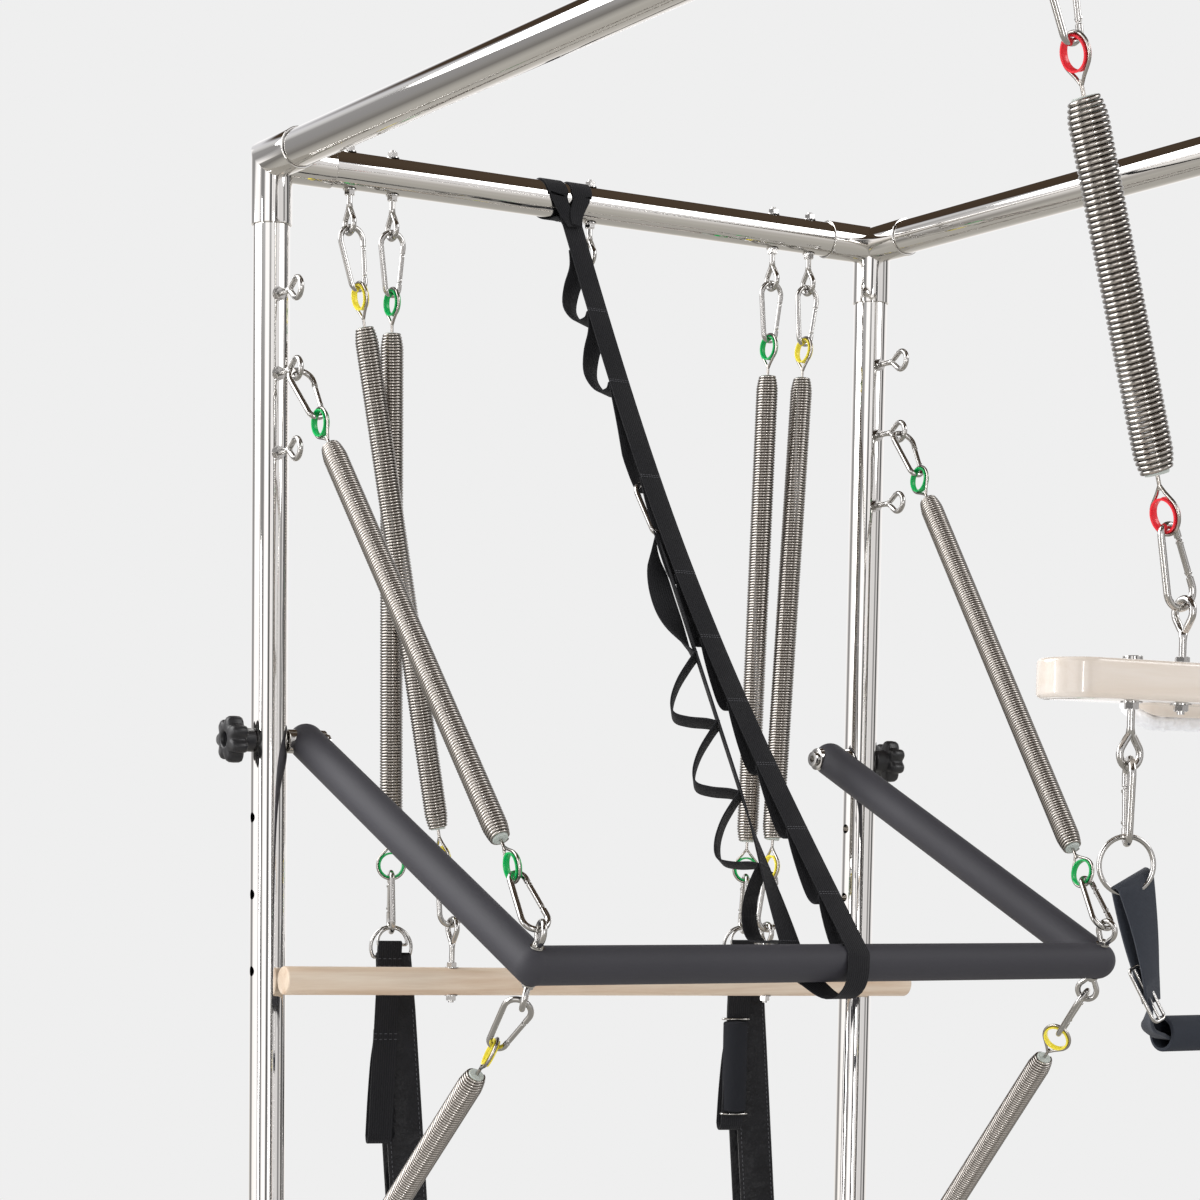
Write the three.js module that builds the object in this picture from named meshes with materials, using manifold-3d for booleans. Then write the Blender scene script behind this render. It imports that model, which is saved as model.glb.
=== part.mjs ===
// Pilates tower unit: a free-standing canopy of polished steel tube that carries a
// push-through bar, a roll-down bar, two loop handles, a safety strap and a trapeze.
// Millimetres, +Z up. X runs across the tower, +Y towards the end with the
// push-through bar. The origin is on the floor, under the middle of the tower.
import * as THREE from 'three';
import { mergeVertices } from 'three/addons/utils/BufferGeometryUtils.js';
import Module from 'manifold-3d';

const wasm = await Module();
wasm.setup();

// Fits
const FIT = 0.3;                    // gap between two pieces that touch
const OVERRUN = 2;                  // how far a cutting solid runs past what it cuts
const EMBED = 1.5;                  // how deep a welded or moulded-in piece starts

// Frame
const TUBE_D = 38;
const FRAME_WIDTH = 762;            // centre to centre of the posts, across
const FRAME_LENGTH = 2160;          // centre to centre of the end frames
const TOP_HEIGHT = 2100;            // floor to the axis of the top tubes
const SLEEVE_D = 42;                // outside of a corner sleeve
const SLEEVE_REACH = 66;            // corner centre to the mouth of a sleeve
const SOCKET_SHARE = 0.45;          // where a socket starts, of the sleeve's reach
const FLANGE_D = 110;
const FLANGE_T = 8;
const FLANGE_HOLE_D = 11;
const FLANGE_HOLE_CIRCLE_SHARE = 0.7;
const FLANGE_HOLES = 4;

// Eye bolts and their nuts
const ROD_D = 6;                    // rod of every eye bolt and snap hook
const EYE_INSIDE = 14;
const NUT_D = 12;                   // across the corners
const NUT_H = 5;
const CROSS_EYE_DROP = 53.5;        // cross tube's axis to the eye
const POST_EYE_REACH = 61;          // post's axis to the eye
const BAR_EYE_REACH = 34;           // push bar's axis to the eye
const BAR_EYE_TURNS = { top: 15, low: 35 };   // degrees that these eyes are screwed round
const ROLL_EYE_REACH = 57;          // roll-down bar's axis to the eye
const OUTER_EYE_INSET = 89;         // post's axis to the outer eye of the cross tube
const INNER_EYE_INSET = 139;
const FIRST_POST_EYE = 137;         // below the top tube's axis
const POST_EYE_PITCH = 80;
const POST_EYES = 3;
const LOW_POST_EYE = 1243;          // below the top tube's axis

// Snap hooks
const HOOK_LENGTH = 64;             // centreline, end to end
const HOOK_WIDE_R = 13;
const HOOK_NARROW_R = 8;

// Springs
const RING_INSIDE = 22;             // lined loop at each end of a spring
const RING_ROD_D = 5;
const NECK = 15;                    // wire between the loop and the coil
const NECK_D = 3.2;
const COIL_D = 25;
const COIL_LENGTH = 528;
const COIL_WALL = 3.6;
const COIL_GAP = 1.2;               // between one curl and the next
const CURL_PITCH = 115;             // from one curl to the next
const COIL_TAPER = 9;
const COIL_END_SHARE = 0.72;        // end diameter, of the coil's
const PLUG_H = 5;
const HEAVY_COIL_D = 31.5;
const HEAVY_COIL_LENGTH = 281;
const HEAVY_COIL_WALL = 4.6;
const HEAVY_CURL_PITCH = 80;

// Push-through bar
const BAR_D = 38;
const BAR_INSET = 43;               // post's axis to the arm's axis
const PIVOT_DEPTH = 590;            // below the top tube's axis
const ARM_LENGTH = 524;             // pivot to corner
const ARM_DROP = 24.2;              // degrees below level
const PIVOT_D = 10;
const PIVOT_HOLES = 3;              // spare holes below the pivot
const PIVOT_HOLE_PITCH = 80;
const BOSS_D = 26;
const BOSS_PROUD = 1.6;
const HEAD_D = 17;
const HEAD_H = 5;
const SOCKET_D = 8;
const KNOB_D = 49;
const KNOB_LOBES = 7;
const KNOB_LOBE_DEPTH_SHARE = 0.11;
const KNOB_T = 19;
const KNOB_HUB_D = 25;
const KNOB_HUB_H = 13;
const BOLT_SHOWS_SHARE = 0.6;       // how far the bolt fills the knob

// Roll-down bar
const ROLL_D = 30;
const ROLL_LENGTH = 808;
const ROLL_SHIFT = 25;              // hangs this far to the right of the middle
const ROLL_EYE_SPACING = 409;

// Loop handles
const HANDLE_RING_INSIDE = 40;
const HANDLE_RING_ROD_D = 4;
const HANDLE_TURN = -18;            // degrees that a handle is turned, from above
const HANDLE_DRIFT = 17;            // how far a handle hangs towards the middle
const HANDLE_BACK = { left: 21, right: 7 };   // hangs back, clear of the roll-down bar and spring
const WEB = {
  width: 26, thickness: 2.4, length: 214,     // of the webbing, and of the loop it makes
  front: -10, back: 10,                       // its two faces
  atTop: -2.7, atFoot: -12.5,                 // how far aside it hangs
};
const PAD = { width: 40, thickness: 5, length: 335, front: -6, back: 34, atTop: 10, atFoot: 26 };
const GATHER_SHARE = 0.6;           // a loop's width where it hangs in the ring
const GATHER_END_SHARE = 0.45;      // where it reaches its full width, down the loop
const GRIP_D = 28;
const GRIP_LENGTH = 106;
const GRIP_TOP_SHARE = 0.4;         // where the grip starts down the webbing loop

// Safety strap
const STRAP_W = 25;
const STRAP_T = 2.2;
const STRAP_TOP_X = -37;
const STRAP_FOOT_X = 20;
const STRAP_RETURN_X = -26;
const STRAP_BANDS = [-54, -20];     // the two turns round the cross tube
const STRAP_KNOT = 27.5;            // cross tube's axis to where the turns meet
const STRAP_LOOPS = 9;
const STRAP_SEWN_SHARE = 0.95;      // how far down the strap its loops reach
const STRAP_LOOP_BULGE = 16;
const RETURN_LOOPS = 6;
const RETURN_LOOP_BULGE = 26;
const HOOKED_LOOP = 3;              // the loop that the snap hook hangs in, from 0
const HOOKED_W = 9;                 // width where the snap hook gathers the strap
const HOOKED_END = 6;               // how far the strap's other end runs into the hook
const LOOP_SAG_SHARE = 0.12;

// Trapeze
const TRAPEZE_Y = -20;
const SLIDER_D = 25;
const SLIDER_SLEEVE_D = 50;
const SLIDER_SLEEVE_L = 60;
const SLIDER_EYE_DROP = 38;
const SLIDER_EYE_X = 272;
const BOARD_LENGTH = 522;
const BOARD_W = 60;
const BOARD_T = 30;
const BOARD_EYE_X = 126;
const BOARD_EYE_REACH = 55;         // board's mid plane to the eye
const BOARD_LOW_EYE_X = 176;
const BACK_BOARD_LENGTH = 230;
const BACK_BOARD_W = 44;
const BACK_BOARD_T = 26;
const BACK_BOARD_TILT = 38;         // degrees
const BACK_BOARD_SPACE = 9;
const BACK_PIN_D = 10;
const BACK_PIN_X_SHARE = 0.5;
const FLEECE_T = 14;
const SLING_WEB_W = 36;
const SLING_TUBE_W = 22;            // width inside the grip
const SLING_WEB_T = 3;
const SLING_FOLD = 36;              // fold that holds a ring, top to bottom
const SLING_FOLD_OPEN = 9;
const SLING_DROP = 125;             // ring centre to the grip's axis
const SLING_GRIP_L = 282;
const SLING_GRIP_D = 34;
const SLING_GRIP_BORE = 27;
const SLING_BEND = 12;              // radius of the bend into the grip
const BUCKLE_W = 42;
const BUCKLE_H = 12;
const BUCKLE_T = 6;
const BUCKLE_SHARE = 0.66;          // where the buckle sits, down the strap

// How finely round things are divided
const TUBE_SIDES = 12;
const ROD_SIDES = 4;
const NUT_SIDES = 6;
const BORE_SIDES = 8;
const EYE_STEPS = 8;
const WIDE_ARC_STEPS = 5;                   // odd, so that a flat is in the middle
const NARROW_ARC_STEPS = 3;
const CURL_STEPS = 8;
const CAP_STEPS = 3;
const BEND_STEPS = 4;
const LOOP_STEPS = 4;
const PLANK_END_STEPS = 6;

// Places that several pieces share
const halfWidth = FRAME_WIDTH / 2;
const halfLength = FRAME_LENGTH / 2;
const tubeR = TUBE_D / 2;
const rollForward = tubeR + FIT + ROLL_D / 2;     // the roll-down bar rests on the posts
const rodR = ROD_D / 2;
const barR = BAR_D / 2;
const pivotZ = TOP_HEIGHT - PIVOT_DEPTH;
const armX = halfWidth - BAR_INSET;
const eyeR = EYE_INSIDE / 2 + rodR;
const ringR = (RING_INSIDE + RING_ROD_D) / 2;
const handleRingR = (HANDLE_RING_INSIDE + HANDLE_RING_ROD_D) / 2;
const hookInEye = EYE_INSIDE / 2 - rodR - 2 * FIT;   // room for a chain that leans
const hookInRing = RING_INSIDE / 2 - rodR - FIT;
const hookInHandle = HANDLE_RING_INSIDE / 2 - rodR - FIT;
const linkLength = hookInEye + HOOK_LENGTH + hookInRing;
const coilStart = linkLength + ringR + RING_ROD_D / 2 + NECK;
const armDrop = THREE.MathUtils.degToRad(ARM_DROP);
const armDir = new THREE.Vector3(0, -Math.cos(armDrop), -Math.sin(armDrop));
const armUp = new THREE.Vector3(0, -Math.sin(armDrop), Math.cos(armDrop));
const barCorner = new THREE.Vector3(0, halfLength, pivotZ).addScaledVector(armDir, ARM_LENGTH);

const X = new THREE.Vector3(1, 0, 0);
const Y = new THREE.Vector3(0, 1, 0);
const Z = new THREE.Vector3(0, 0, 1);

// Finishes
const finish = (color, roughness, metalness) =>
  new THREE.MeshStandardMaterial({ color, roughness, metalness, flatShading: true });
const polished = finish(0xc9c6c0, 0.12, 1);
const springSteel = finish(0x8f8b84, 0.35, 1);
const blackCoat = finish(0x34343a, 0.7, 0.1);
const blackPlastic = finish(0x1b1b1d, 0.5, 0);
const maple = finish(0xe6cdb0, 0.4, 0);
const webbing = finish(0x1c1c20, 0.9, 0);
const fleece = finish(0xf1f0ee, 1, 0);

// Turning three.js geometry into solids and back

function weld(geometry) {
  const bare = geometry.clone();
  for (const name of Object.keys(bare.attributes)) if (name !== 'position') bare.deleteAttribute(name);
  const merged = mergeVertices(bare, FIT / 1000);
  const corners = merged.index.array;
  const kept = [];
  for (let i = 0; i < corners.length; i += 3) {
    const [a, b, c] = [corners[i], corners[i + 1], corners[i + 2]];
    if (a !== b && b !== c && c !== a) kept.push(a, b, c);
  }
  merged.setIndex(kept);
  return merged;
}

function solid(geometry) {
  const welded = weld(geometry);
  return new wasm.Manifold(new wasm.Mesh({
    numProp: 3,
    vertProperties: new Float32Array(welded.attributes.position.array),
    triVerts: new Uint32Array(welded.index.array),
  }));
}

function surface(body) {
  const mesh = body.getMesh();
  const geometry = new THREE.BufferGeometry();
  geometry.setAttribute('position', new THREE.BufferAttribute(new Float32Array(mesh.vertProperties), 3));
  geometry.setIndex([...mesh.triVerts]);
  return geometry;
}

const joined = (geometries) => surface(geometries.map(solid).reduce((a, b) => a.add(b)));
const cut = (geometry, tools) => surface(tools.map(solid).reduce((a, b) => a.subtract(b), solid(geometry)));

// Shapes used by more than one piece

// A rod from one point to another, with flat ends.
function rod(from, to, diameter, sides = TUBE_SIDES) {
  const along = to.clone().sub(from);
  const geometry = new THREE.CylinderGeometry(diameter / 2, diameter / 2, along.length(), sides);
  const turn = new THREE.Quaternion().setFromUnitVectors(Y, along.normalize());
  return geometry.applyQuaternion(turn).translate(...from.clone().add(to).multiplyScalar(1 / 2).toArray());
}

// The corners of a rod's section, one of them towards the inside of a bend: how far
// out along the bend's radius and how far along its axis.
const rodSection = (radius) => Array.from({ length: ROD_SIDES }, (_, j) => {
  const angle = Math.PI + (j / ROD_SIDES) * 2 * Math.PI;
  return [radius * Math.cos(angle), radius * Math.sin(angle)];
});

// What a shaft's bore takes away, round enough for the shaft to turn in.
function bore(from, to, shaftD) {
  return rod(from, to, (shaftD + 2 * FIT) / Math.cos(Math.PI / BORE_SIDES), BORE_SIDES);
}

// A ring about an axis through its centre. The flats of its inside keep the ring's
// inside diameter clear, and one of them is square to `up`.
function ring(centre, axis, up, radius, diameter) {
  const section = rodSection(diameter / 2);
  const flats = 1 / Math.cos(Math.PI / EYE_STEPS);
  const geometry = loft(Array.from({ length: EYE_STEPS }, (_, i) => {
    const angle = ((i + 1 / 2) / EYE_STEPS) * 2 * Math.PI;
    return section.map(([out, along], corner) => {
      const reach = (radius + out) * (corner === 0 ? flats : 1);
      return new THREE.Vector3(reach * Math.cos(angle), reach * Math.sin(angle), along);
    });
  }), true);
  const turn = new THREE.Matrix4().makeBasis(up.clone().cross(axis), up, axis);
  return geometry.applyMatrix4(turn).translate(...centre.toArray());
}

// A rod whose ends are domes that are centred on the two points.
function capsule(from, to, diameter) {
  const along = to.clone().sub(from);
  const length = along.length();
  const radius = diameter / 2;
  const dome = (middle, start) => Array.from({ length: CAP_STEPS + 1 }, (_, i) => {
    const angle = start + (i / CAP_STEPS) * (Math.PI / 2);
    return new THREE.Vector2(radius * Math.cos(angle), middle + radius * Math.sin(angle));
  });
  const profile = [...dome(0, -Math.PI / 2), ...dome(length, 0)];
  profile[0].x = 0;
  profile[profile.length - 1].x = 0;
  const turn = new THREE.Quaternion().setFromUnitVectors(Y, along.normalize());
  return new THREE.LatheGeometry(profile, TUBE_SIDES).applyQuaternion(turn).translate(...from.toArray());
}

// An eye bolt that grows out of a surface: nut, shank and eye. The eye is
// `reach` from `root` along `out`, and `across` is square to its plane.
function eyeBolt(root, out, across, surfaceAt, reach) {
  const at = (distance) => root.clone().addScaledVector(out, distance);
  return [
    rod(at(surfaceAt - EMBED), at(reach - eyeR), ROD_D, ROD_SIDES),
    rod(at(surfaceAt - EMBED), at(surfaceAt + NUT_H), NUT_D, NUT_SIDES),
    ring(at(reach), across, out, eyeR, ROD_D),
  ];
}

// The nut and bolt end on the far side of what an eye bolt goes through.
function farNut(root, out, surfaceAt) {
  const at = (distance) => root.clone().addScaledVector(out, distance);
  return rod(at(surfaceAt - EMBED), at(surfaceAt + NUT_H), NUT_D, NUT_SIDES);
}

// A skin over a row of outlines that have the same number of points. It is closed
// with flat ends, or runs round into itself.
function loft(outlines, endless = false) {
  const sides = outlines[0].length;
  const count = outlines.length;
  const index = [];
  for (let i = 0; i < (endless ? count : count - 1); i++) {
    for (let j = 0; j < sides; j++) {
      const [a, b] = [i * sides + j, i * sides + (j + 1) % sides];
      const [c, d] = [((i + 1) % count) * sides + j, ((i + 1) % count) * sides + (j + 1) % sides];
      index.push(a, b, c, b, d, c);
    }
  }
  const last = (count - 1) * sides;
  for (let j = 1; !endless && j < sides - 1; j++) index.push(0, j + 1, j, last, last + j, last + j + 1);
  const points = outlines.flat();
  const side = new THREE.Vector3();
  let volume = 0;
  for (let i = 0; i < index.length; i += 3) {
    const [a, b, c] = [points[index[i]], points[index[i + 1]], points[index[i + 2]]];
    volume += side.crossVectors(b, c).dot(a);
  }
  if (volume < 0) index.reverse();
  const geometry = new THREE.BufferGeometry().setFromPoints(points);
  geometry.setIndex(index);
  return geometry;
}

// A flat strap along a row of points, each with the direction of the strap's width.
// The width is one length, or one for each point.
function strap(points, wides, width, thickness) {
  return loft(points.map((point, i) => {
    const along = points[Math.min(i + 1, points.length - 1)].clone().sub(points[Math.max(i - 1, 0)]);
    const wide = wides[i];
    const thick = along.cross(wide).normalize();
    const half = (Array.isArray(width) ? width[i] : width) / 2;
    return [[-1, -1], [1, -1], [1, 1], [-1, 1]].map(([w, t]) => point.clone()
      .addScaledVector(wide, w * half).addScaledVector(thick, t * thickness / 2));
  }));
}

// An outline in the YZ plane, with holes, made `width` thick along X about `middle`.
function sideways(outline, holes, width, middle) {
  const shape = new THREE.Shape(outline);
  shape.holes = holes.map((hole) => new THREE.Path(hole));
  const geometry = new THREE.ExtrudeGeometry(shape, { depth: width, bevelEnabled: false });
  return geometry.applyMatrix4(new THREE.Matrix4().makeBasis(Y, Z, X)).translate(middle - width / 2, 0, 0);
}

// A snap hook: a rod bent round a wide end at the top and a narrow end below, in the
// XZ plane, with the middle of the rod's top at the origin.
function hookGeometry() {
  const centres = HOOK_LENGTH - HOOK_WIDE_R - HOOK_NARROW_R;
  const lean = Math.asin((HOOK_WIDE_R - HOOK_NARROW_R) / centres);
  const stations = [];
  const arc = (middle, radius, from, to, steps) => {
    const corner = radius / Math.cos((to - from) / steps / 2);
    for (let i = 0; i <= steps; i++) {
      stations.push({ middle, corner, angle: from + (to - from) * (i / steps) });
    }
  };
  arc(-HOOK_WIDE_R, HOOK_WIDE_R, -lean, Math.PI + lean, WIDE_ARC_STEPS);
  arc(HOOK_NARROW_R - HOOK_LENGTH, HOOK_NARROW_R, Math.PI + lean, 2 * Math.PI - lean, NARROW_ARC_STEPS);
  const section = rodSection(rodR);
  return loft(stations.map(({ middle, corner, angle }) => section.map(([out, along]) => new THREE.Vector3(
    (corner + out) * Math.cos(angle), along, middle + (corner + out) * Math.sin(angle)))), true);
}

// The wound part of a spring, from z = 0 down. One band is wound from end to end. It
// fills the height between one curl and the next, less the gap, and the first and the
// last curl are ground flat.
const bandShares = [[0, -1], [0, 1], [0.8, 1], [1, 0], [0.8, -1]];   // depth, height
const measuredGaps = {};

function windings(name, length, coil) {
  const climbs = Math.round(length / coil.pitch);
  const pitch = length / climbs;
  const start = (COIL_GAP + coil.wall) / pitch;
  const steps = (climbs + 1) * CURL_STEPS;
  const outlines = Array.from({ length: steps + 1 }, (_, i) => {
    const turn = start + (climbs + 1 - 2 * start) * (i / steps);
    const top = Math.max(0, pitch * (turn - 1));
    const foot = Math.min(length, pitch * turn - COIL_GAP);
    const angle = turn * 2 * Math.PI;
    return bandShares.map(([deep, high]) => {
      const radius = coil.diameter / 2 - deep * coil.wall;
      const depth = (top + foot + high * (foot - top)) / 2;
      return new THREE.Vector3(radius * Math.cos(angle), radius * Math.sin(angle), -depth);
    });
  });
  let least = Infinity;
  outlines.forEach((near, i) => outlines.slice(i + CURL_STEPS / 2).forEach((far) => {
    for (const a of near) for (const b of far) least = Math.min(least, a.distanceTo(b));
  }));
  measuredGaps[name] = least;
  return loft(outlines);
}

// The plug that narrows a coil's end and holds the neck, with its small end at z = 0
// and its seat inside the coil above.
function plugGeometry(coil) {
  const narrow = COIL_END_SHARE * coil.diameter / 2;
  const inside = (coil.diameter - coil.wall) / 2;
  const top = COIL_TAPER + PLUG_H;
  const profile = [[0, 0], [narrow, 0], [inside, COIL_TAPER], [inside, top], [0, top]];
  const points = profile.map(([radius, height]) => new THREE.Vector2(radius, height));
  return new THREE.LatheGeometry(points, CURL_STEPS).rotateX(Math.PI / 2);
}

// A spring between two lined loops, hanging from the middle of its top loop. A loop
// is square to `topAcross` or `footAcross`.
function springGeometry(name, coil, topAcross, footAcross) {
  const neckEnd = ringR + RING_ROD_D / 2 + NECK;
  const down = (depth) => new THREE.Vector3(0, 0, -depth);
  const foot = 2 * neckEnd + coil.length;
  const wound = windings(name, coil.length - 2 * COIL_TAPER + 2 * FIT, coil);
  return joined([
    wound.translate(0, 0, FIT - neckEnd - COIL_TAPER),
    plugGeometry(coil).rotateX(Math.PI).translate(0, 0, -neckEnd),
    plugGeometry(coil).translate(0, 0, neckEnd - foot),
    rod(down(ringR), down(neckEnd + EMBED), NECK_D, ROD_SIDES),
    rod(down(foot - neckEnd - EMBED), down(foot - ringR), NECK_D, ROD_SIDES),
    ring(down(0), topAcross, Z, ringR, RING_ROD_D),
    ring(down(foot), footAcross, Z, ringR, RING_ROD_D),
  ]);
}

// The group that every piece goes into
const tower = new THREE.Group();

function add(name, geometry, material, parent = tower) {
  const flat = geometry.index ? geometry.toNonIndexed() : geometry;
  flat.computeVertexNormals();
  const mesh = new THREE.Mesh(flat, material);
  mesh.name = name;
  parent.add(mesh);
  return mesh;
}

const SIDES = [['left', -1], ['right', 1]];
const ENDS = [['rear', 1], ['front', -1]];
const seat = SLEEVE_REACH * SOCKET_SHARE + FIT;      // corner centre to the end of a tube

// Posts: a foot flange with bolt holes, the tube, and on the rear ones the eye bolts
// and the holes that the push-through bar's pivot bolt can take.
function postGeometry(end) {
  const base = new THREE.Vector3();
  const solids = [
    rod(base, new THREE.Vector3(0, 0, TOP_HEIGHT - seat), TUBE_D),
    rod(base, new THREE.Vector3(0, 0, FLANGE_T), FLANGE_D),
  ];
  const holes = Array.from({ length: FLANGE_HOLES }, (_, i) => {
    const angle = ((i + 1 / 2) / FLANGE_HOLES) * 2 * Math.PI;
    const radius = FLANGE_D * FLANGE_HOLE_CIRCLE_SHARE / 2;
    const foot = new THREE.Vector3(radius * Math.cos(angle), radius * Math.sin(angle), -OVERRUN);
    return rod(foot, foot.clone().setZ(FLANGE_T + OVERRUN), FLANGE_HOLE_D, NUT_SIDES);
  });
  if (end > 0) {
    const depths = Array.from({ length: POST_EYES }, (_, i) => FIRST_POST_EYE + i * POST_EYE_PITCH);
    for (const depth of [...depths, LOW_POST_EYE]) {
      const root = new THREE.Vector3(0, 0, TOP_HEIGHT - depth);
      solids.push(...eyeBolt(root, Y.clone().negate(), X, tubeR, POST_EYE_REACH));
    }
    for (let i = 0; i <= PIVOT_HOLES; i++) {
      const z = pivotZ - i * PIVOT_HOLE_PITCH;
      const half = tubeR + OVERRUN;
      holes.push(bore(new THREE.Vector3(-half, 0, z), new THREE.Vector3(half, 0, z), PIVOT_D));
    }
  }
  return cut(joined(solids), holes);
}

// A corner: three sleeves that meet in mitres, with a socket in each.
function cornerGeometry(side, end) {
  const ways = [new THREE.Vector3(-side, 0, 0), new THREE.Vector3(0, -end, 0), new THREE.Vector3(0, 0, -1)];
  const at = (way, distance) => way.clone().multiplyScalar(distance);
  const sleeves = ways.map((way) => rod(new THREE.Vector3(), at(way, SLEEVE_REACH), SLEEVE_D));
  const mitre = ways.map((way) => solid(rod(at(way, -SLEEVE_D), at(way, SLEEVE_D), SLEEVE_D)))
    .reduce((a, b) => a.intersect(b));
  const sockets = ways.map((way) => rod(at(way, SLEEVE_REACH * SOCKET_SHARE),
    at(way, SLEEVE_REACH + OVERRUN), TUBE_D + 2 * FIT));
  return cut(joined([...sleeves, surface(mitre)]), sockets);
}

for (const [endName, end] of ENDS) {
  for (const [sideName, side] of SIDES) {
    const where = [side * halfWidth, end * halfLength];
    add(`post_${endName}_${sideName}`, postGeometry(end), polished).position.set(...where, 0);
    add(`corner_${endName}_${sideName}`, cornerGeometry(side, end), polished)
      .position.set(...where, TOP_HEIGHT);
  }
  const half = new THREE.Vector3(halfWidth - seat, 0, 0);
  const tube = rod(half.clone().negate(), half, TUBE_D);
  const outward = [OUTER_EYE_INSET, INNER_EYE_INSET].map((inset) => halfWidth - inset);
  const bolts = [...outward, 0, ...outward.map((x) => -x)].flatMap((x) => {
    const root = new THREE.Vector3(x, 0, 0);
    const down = Z.clone().negate();
    return [...eyeBolt(root, down, X, tubeR, CROSS_EYE_DROP), farNut(root, Z, tubeR)];
  });
  const shape = end > 0 ? joined([tube, ...bolts]) : tube;
  add(`cross_tube_${endName}`, shape, polished).position.set(0, end * halfLength, TOP_HEIGHT);
}
for (const [sideName, side] of SIDES) {
  const half = new THREE.Vector3(0, halfLength - seat, 0);
  add(`side_tube_${sideName}`, rod(half.clone().negate(), half, TUBE_D), polished)
    .position.set(side * halfWidth, 0, TOP_HEIGHT);
}

// Push-through bar: two arms with domed ends, the bar between them, a boss at each
// pivot and an eye bolt above and below each corner, square to the arm.
const barEyes = [];

function pushBarGeometry() {
  const solids = [];
  const holes = [];
  const pivot = new THREE.Vector3(0, halfLength, pivotZ);
  const gap = BAR_INSET - tubeR - barR;
  for (const [sideName, side] of SIDES) {
    const arm = new THREE.Vector3(side * armX, 0, 0);
    const corner = barCorner.clone().add(arm);
    solids.push(capsule(pivot.clone().add(arm), corner, BAR_D));
    const across = (distance) => pivot.clone().setX(side * (armX + distance));
    solids.push(rod(across(-barR - BOSS_PROUD), across(barR + gap - FIT), BOSS_D));
    holes.push(bore(across(-barR - 2 * OVERRUN), across(barR + gap + OVERRUN), PIVOT_D));
    for (const [level, way] of [['top', 1], ['low', -1]]) {
      const out = armUp.clone().multiplyScalar(way);
      const turned = X.clone().applyAxisAngle(armUp, THREE.MathUtils.degToRad(side * BAR_EYE_TURNS[level]));
      solids.push(...eyeBolt(corner, out, turned, barR, BAR_EYE_REACH));
      const eye = corner.clone().addScaledVector(out, BAR_EYE_REACH);
      barEyes.push({ name: `bar_${level}_${sideName}`, side, level, eye, turned });
    }
  }
  solids.push(rod(barCorner.clone().setX(-armX), barCorner.clone().setX(armX), BAR_D));
  return cut(joined(solids), holes);
}

add('push_bar', pushBarGeometry(), blackCoat);

// Each pivot bolt has its socket head inside the arm and its end in the knob.
function boltGeometry(side) {
  const inner = BAR_INSET + barR + BOSS_PROUD + FIT;
  const outer = tubeR + FIT + KNOB_HUB_H + KNOB_T * BOLT_SHOWS_SHARE;
  const at = (outward) => new THREE.Vector3(side * outward, 0, 0);
  const shape = joined([
    rod(at(-inner - EMBED), at(outer), PIVOT_D, CURL_STEPS),
    rod(at(-inner - HEAD_H), at(-inner), HEAD_D),
  ]);
  return cut(shape, [rod(at(-inner - HEAD_H - OVERRUN), at(-inner - HEAD_H / 2), SOCKET_D, NUT_SIDES)]);
}

// A hand knob with rounded lobes, a hub towards the post and a bore right through.
function knobGeometry(side) {
  const steps = KNOB_LOBES * CURL_STEPS / 2;
  const outline = Array.from({ length: steps }, (_, i) => {
    const angle = (i / steps) * 2 * Math.PI;
    const wave = 1 - KNOB_LOBE_DEPTH_SHARE * (1 - Math.cos(KNOB_LOBES * angle));
    return new THREE.Vector2(Math.cos(angle), Math.sin(angle)).multiplyScalar(wave * KNOB_D / 2);
  });
  const start = tubeR + FIT;
  const face = start + KNOB_HUB_H + KNOB_T;
  const at = (outward) => new THREE.Vector3(side * outward, 0, 0);
  const star = sideways(outline, [], KNOB_T, side * (face - KNOB_T / 2));
  const shape = joined([star, rod(at(start), at(face - KNOB_T / 2), KNOB_HUB_D)]);
  return cut(shape, [bore(at(start - OVERRUN), at(face + OVERRUN), PIVOT_D)]);
}

for (const [sideName, side] of SIDES) {
  const place = [side * halfWidth, halfLength, pivotZ];
  add(`pivot_bolt_${sideName}`, boltGeometry(side), polished).position.set(...place);
  add(`knob_${sideName}`, knobGeometry(side), blackPlastic).position.set(...place);
}

// A chain: snap hook, spring, snap hook, hung between an eye and another eye or a
// ring. It is a group whose Z runs back along the chain, with the first eye at 0. The
// low hook is turned to suit an eye or a ring that is square to `footAcross`.
const longCoil = { length: COIL_LENGTH, diameter: COIL_D, wall: COIL_WALL, pitch: CURL_PITCH };
const heavyCoil = {
  length: HEAVY_COIL_LENGTH, diameter: HEAVY_COIL_D, wall: HEAVY_COIL_WALL, pitch: HEAVY_CURL_PITCH,
};
const chainLength = (coil) => 2 * coilStart + coil.length;

function chain(name, start, direction, coil, footAcross = X, footReach = hookInEye) {
  const group = new THREE.Group();
  const up = direction.clone().normalize().negate();
  const across = X.clone().addScaledVector(up, -X.dot(up)).normalize();
  group.quaternion.setFromRotationMatrix(new THREE.Matrix4().makeBasis(across, up.clone().cross(across), up));
  group.position.copy(start);
  tower.add(group);
  const lowEnd = chainLength(coil) - hookInEye;
  const rodWay = footAcross.clone().applyQuaternion(group.quaternion.clone().invert()).setZ(0).normalize();
  add(`hook_${name}_top`, hookGeometry(), polished, group).position.set(0, 0, -hookInEye);
  add(`spring_${name}`, springGeometry(name, coil, X, rodWay), springSteel, group)
    .position.set(0, 0, -linkLength);
  const low = add(`hook_${name}_low`, hookGeometry(), polished, group);
  low.position.set(0, 0, -lowEnd);
  low.rotation.set(Math.PI, 0, -Math.atan2(rodWay.y, rodWay.x));
  return group.localToWorld(new THREE.Vector3(0, 0, -lowEnd - footReach));
}

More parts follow.
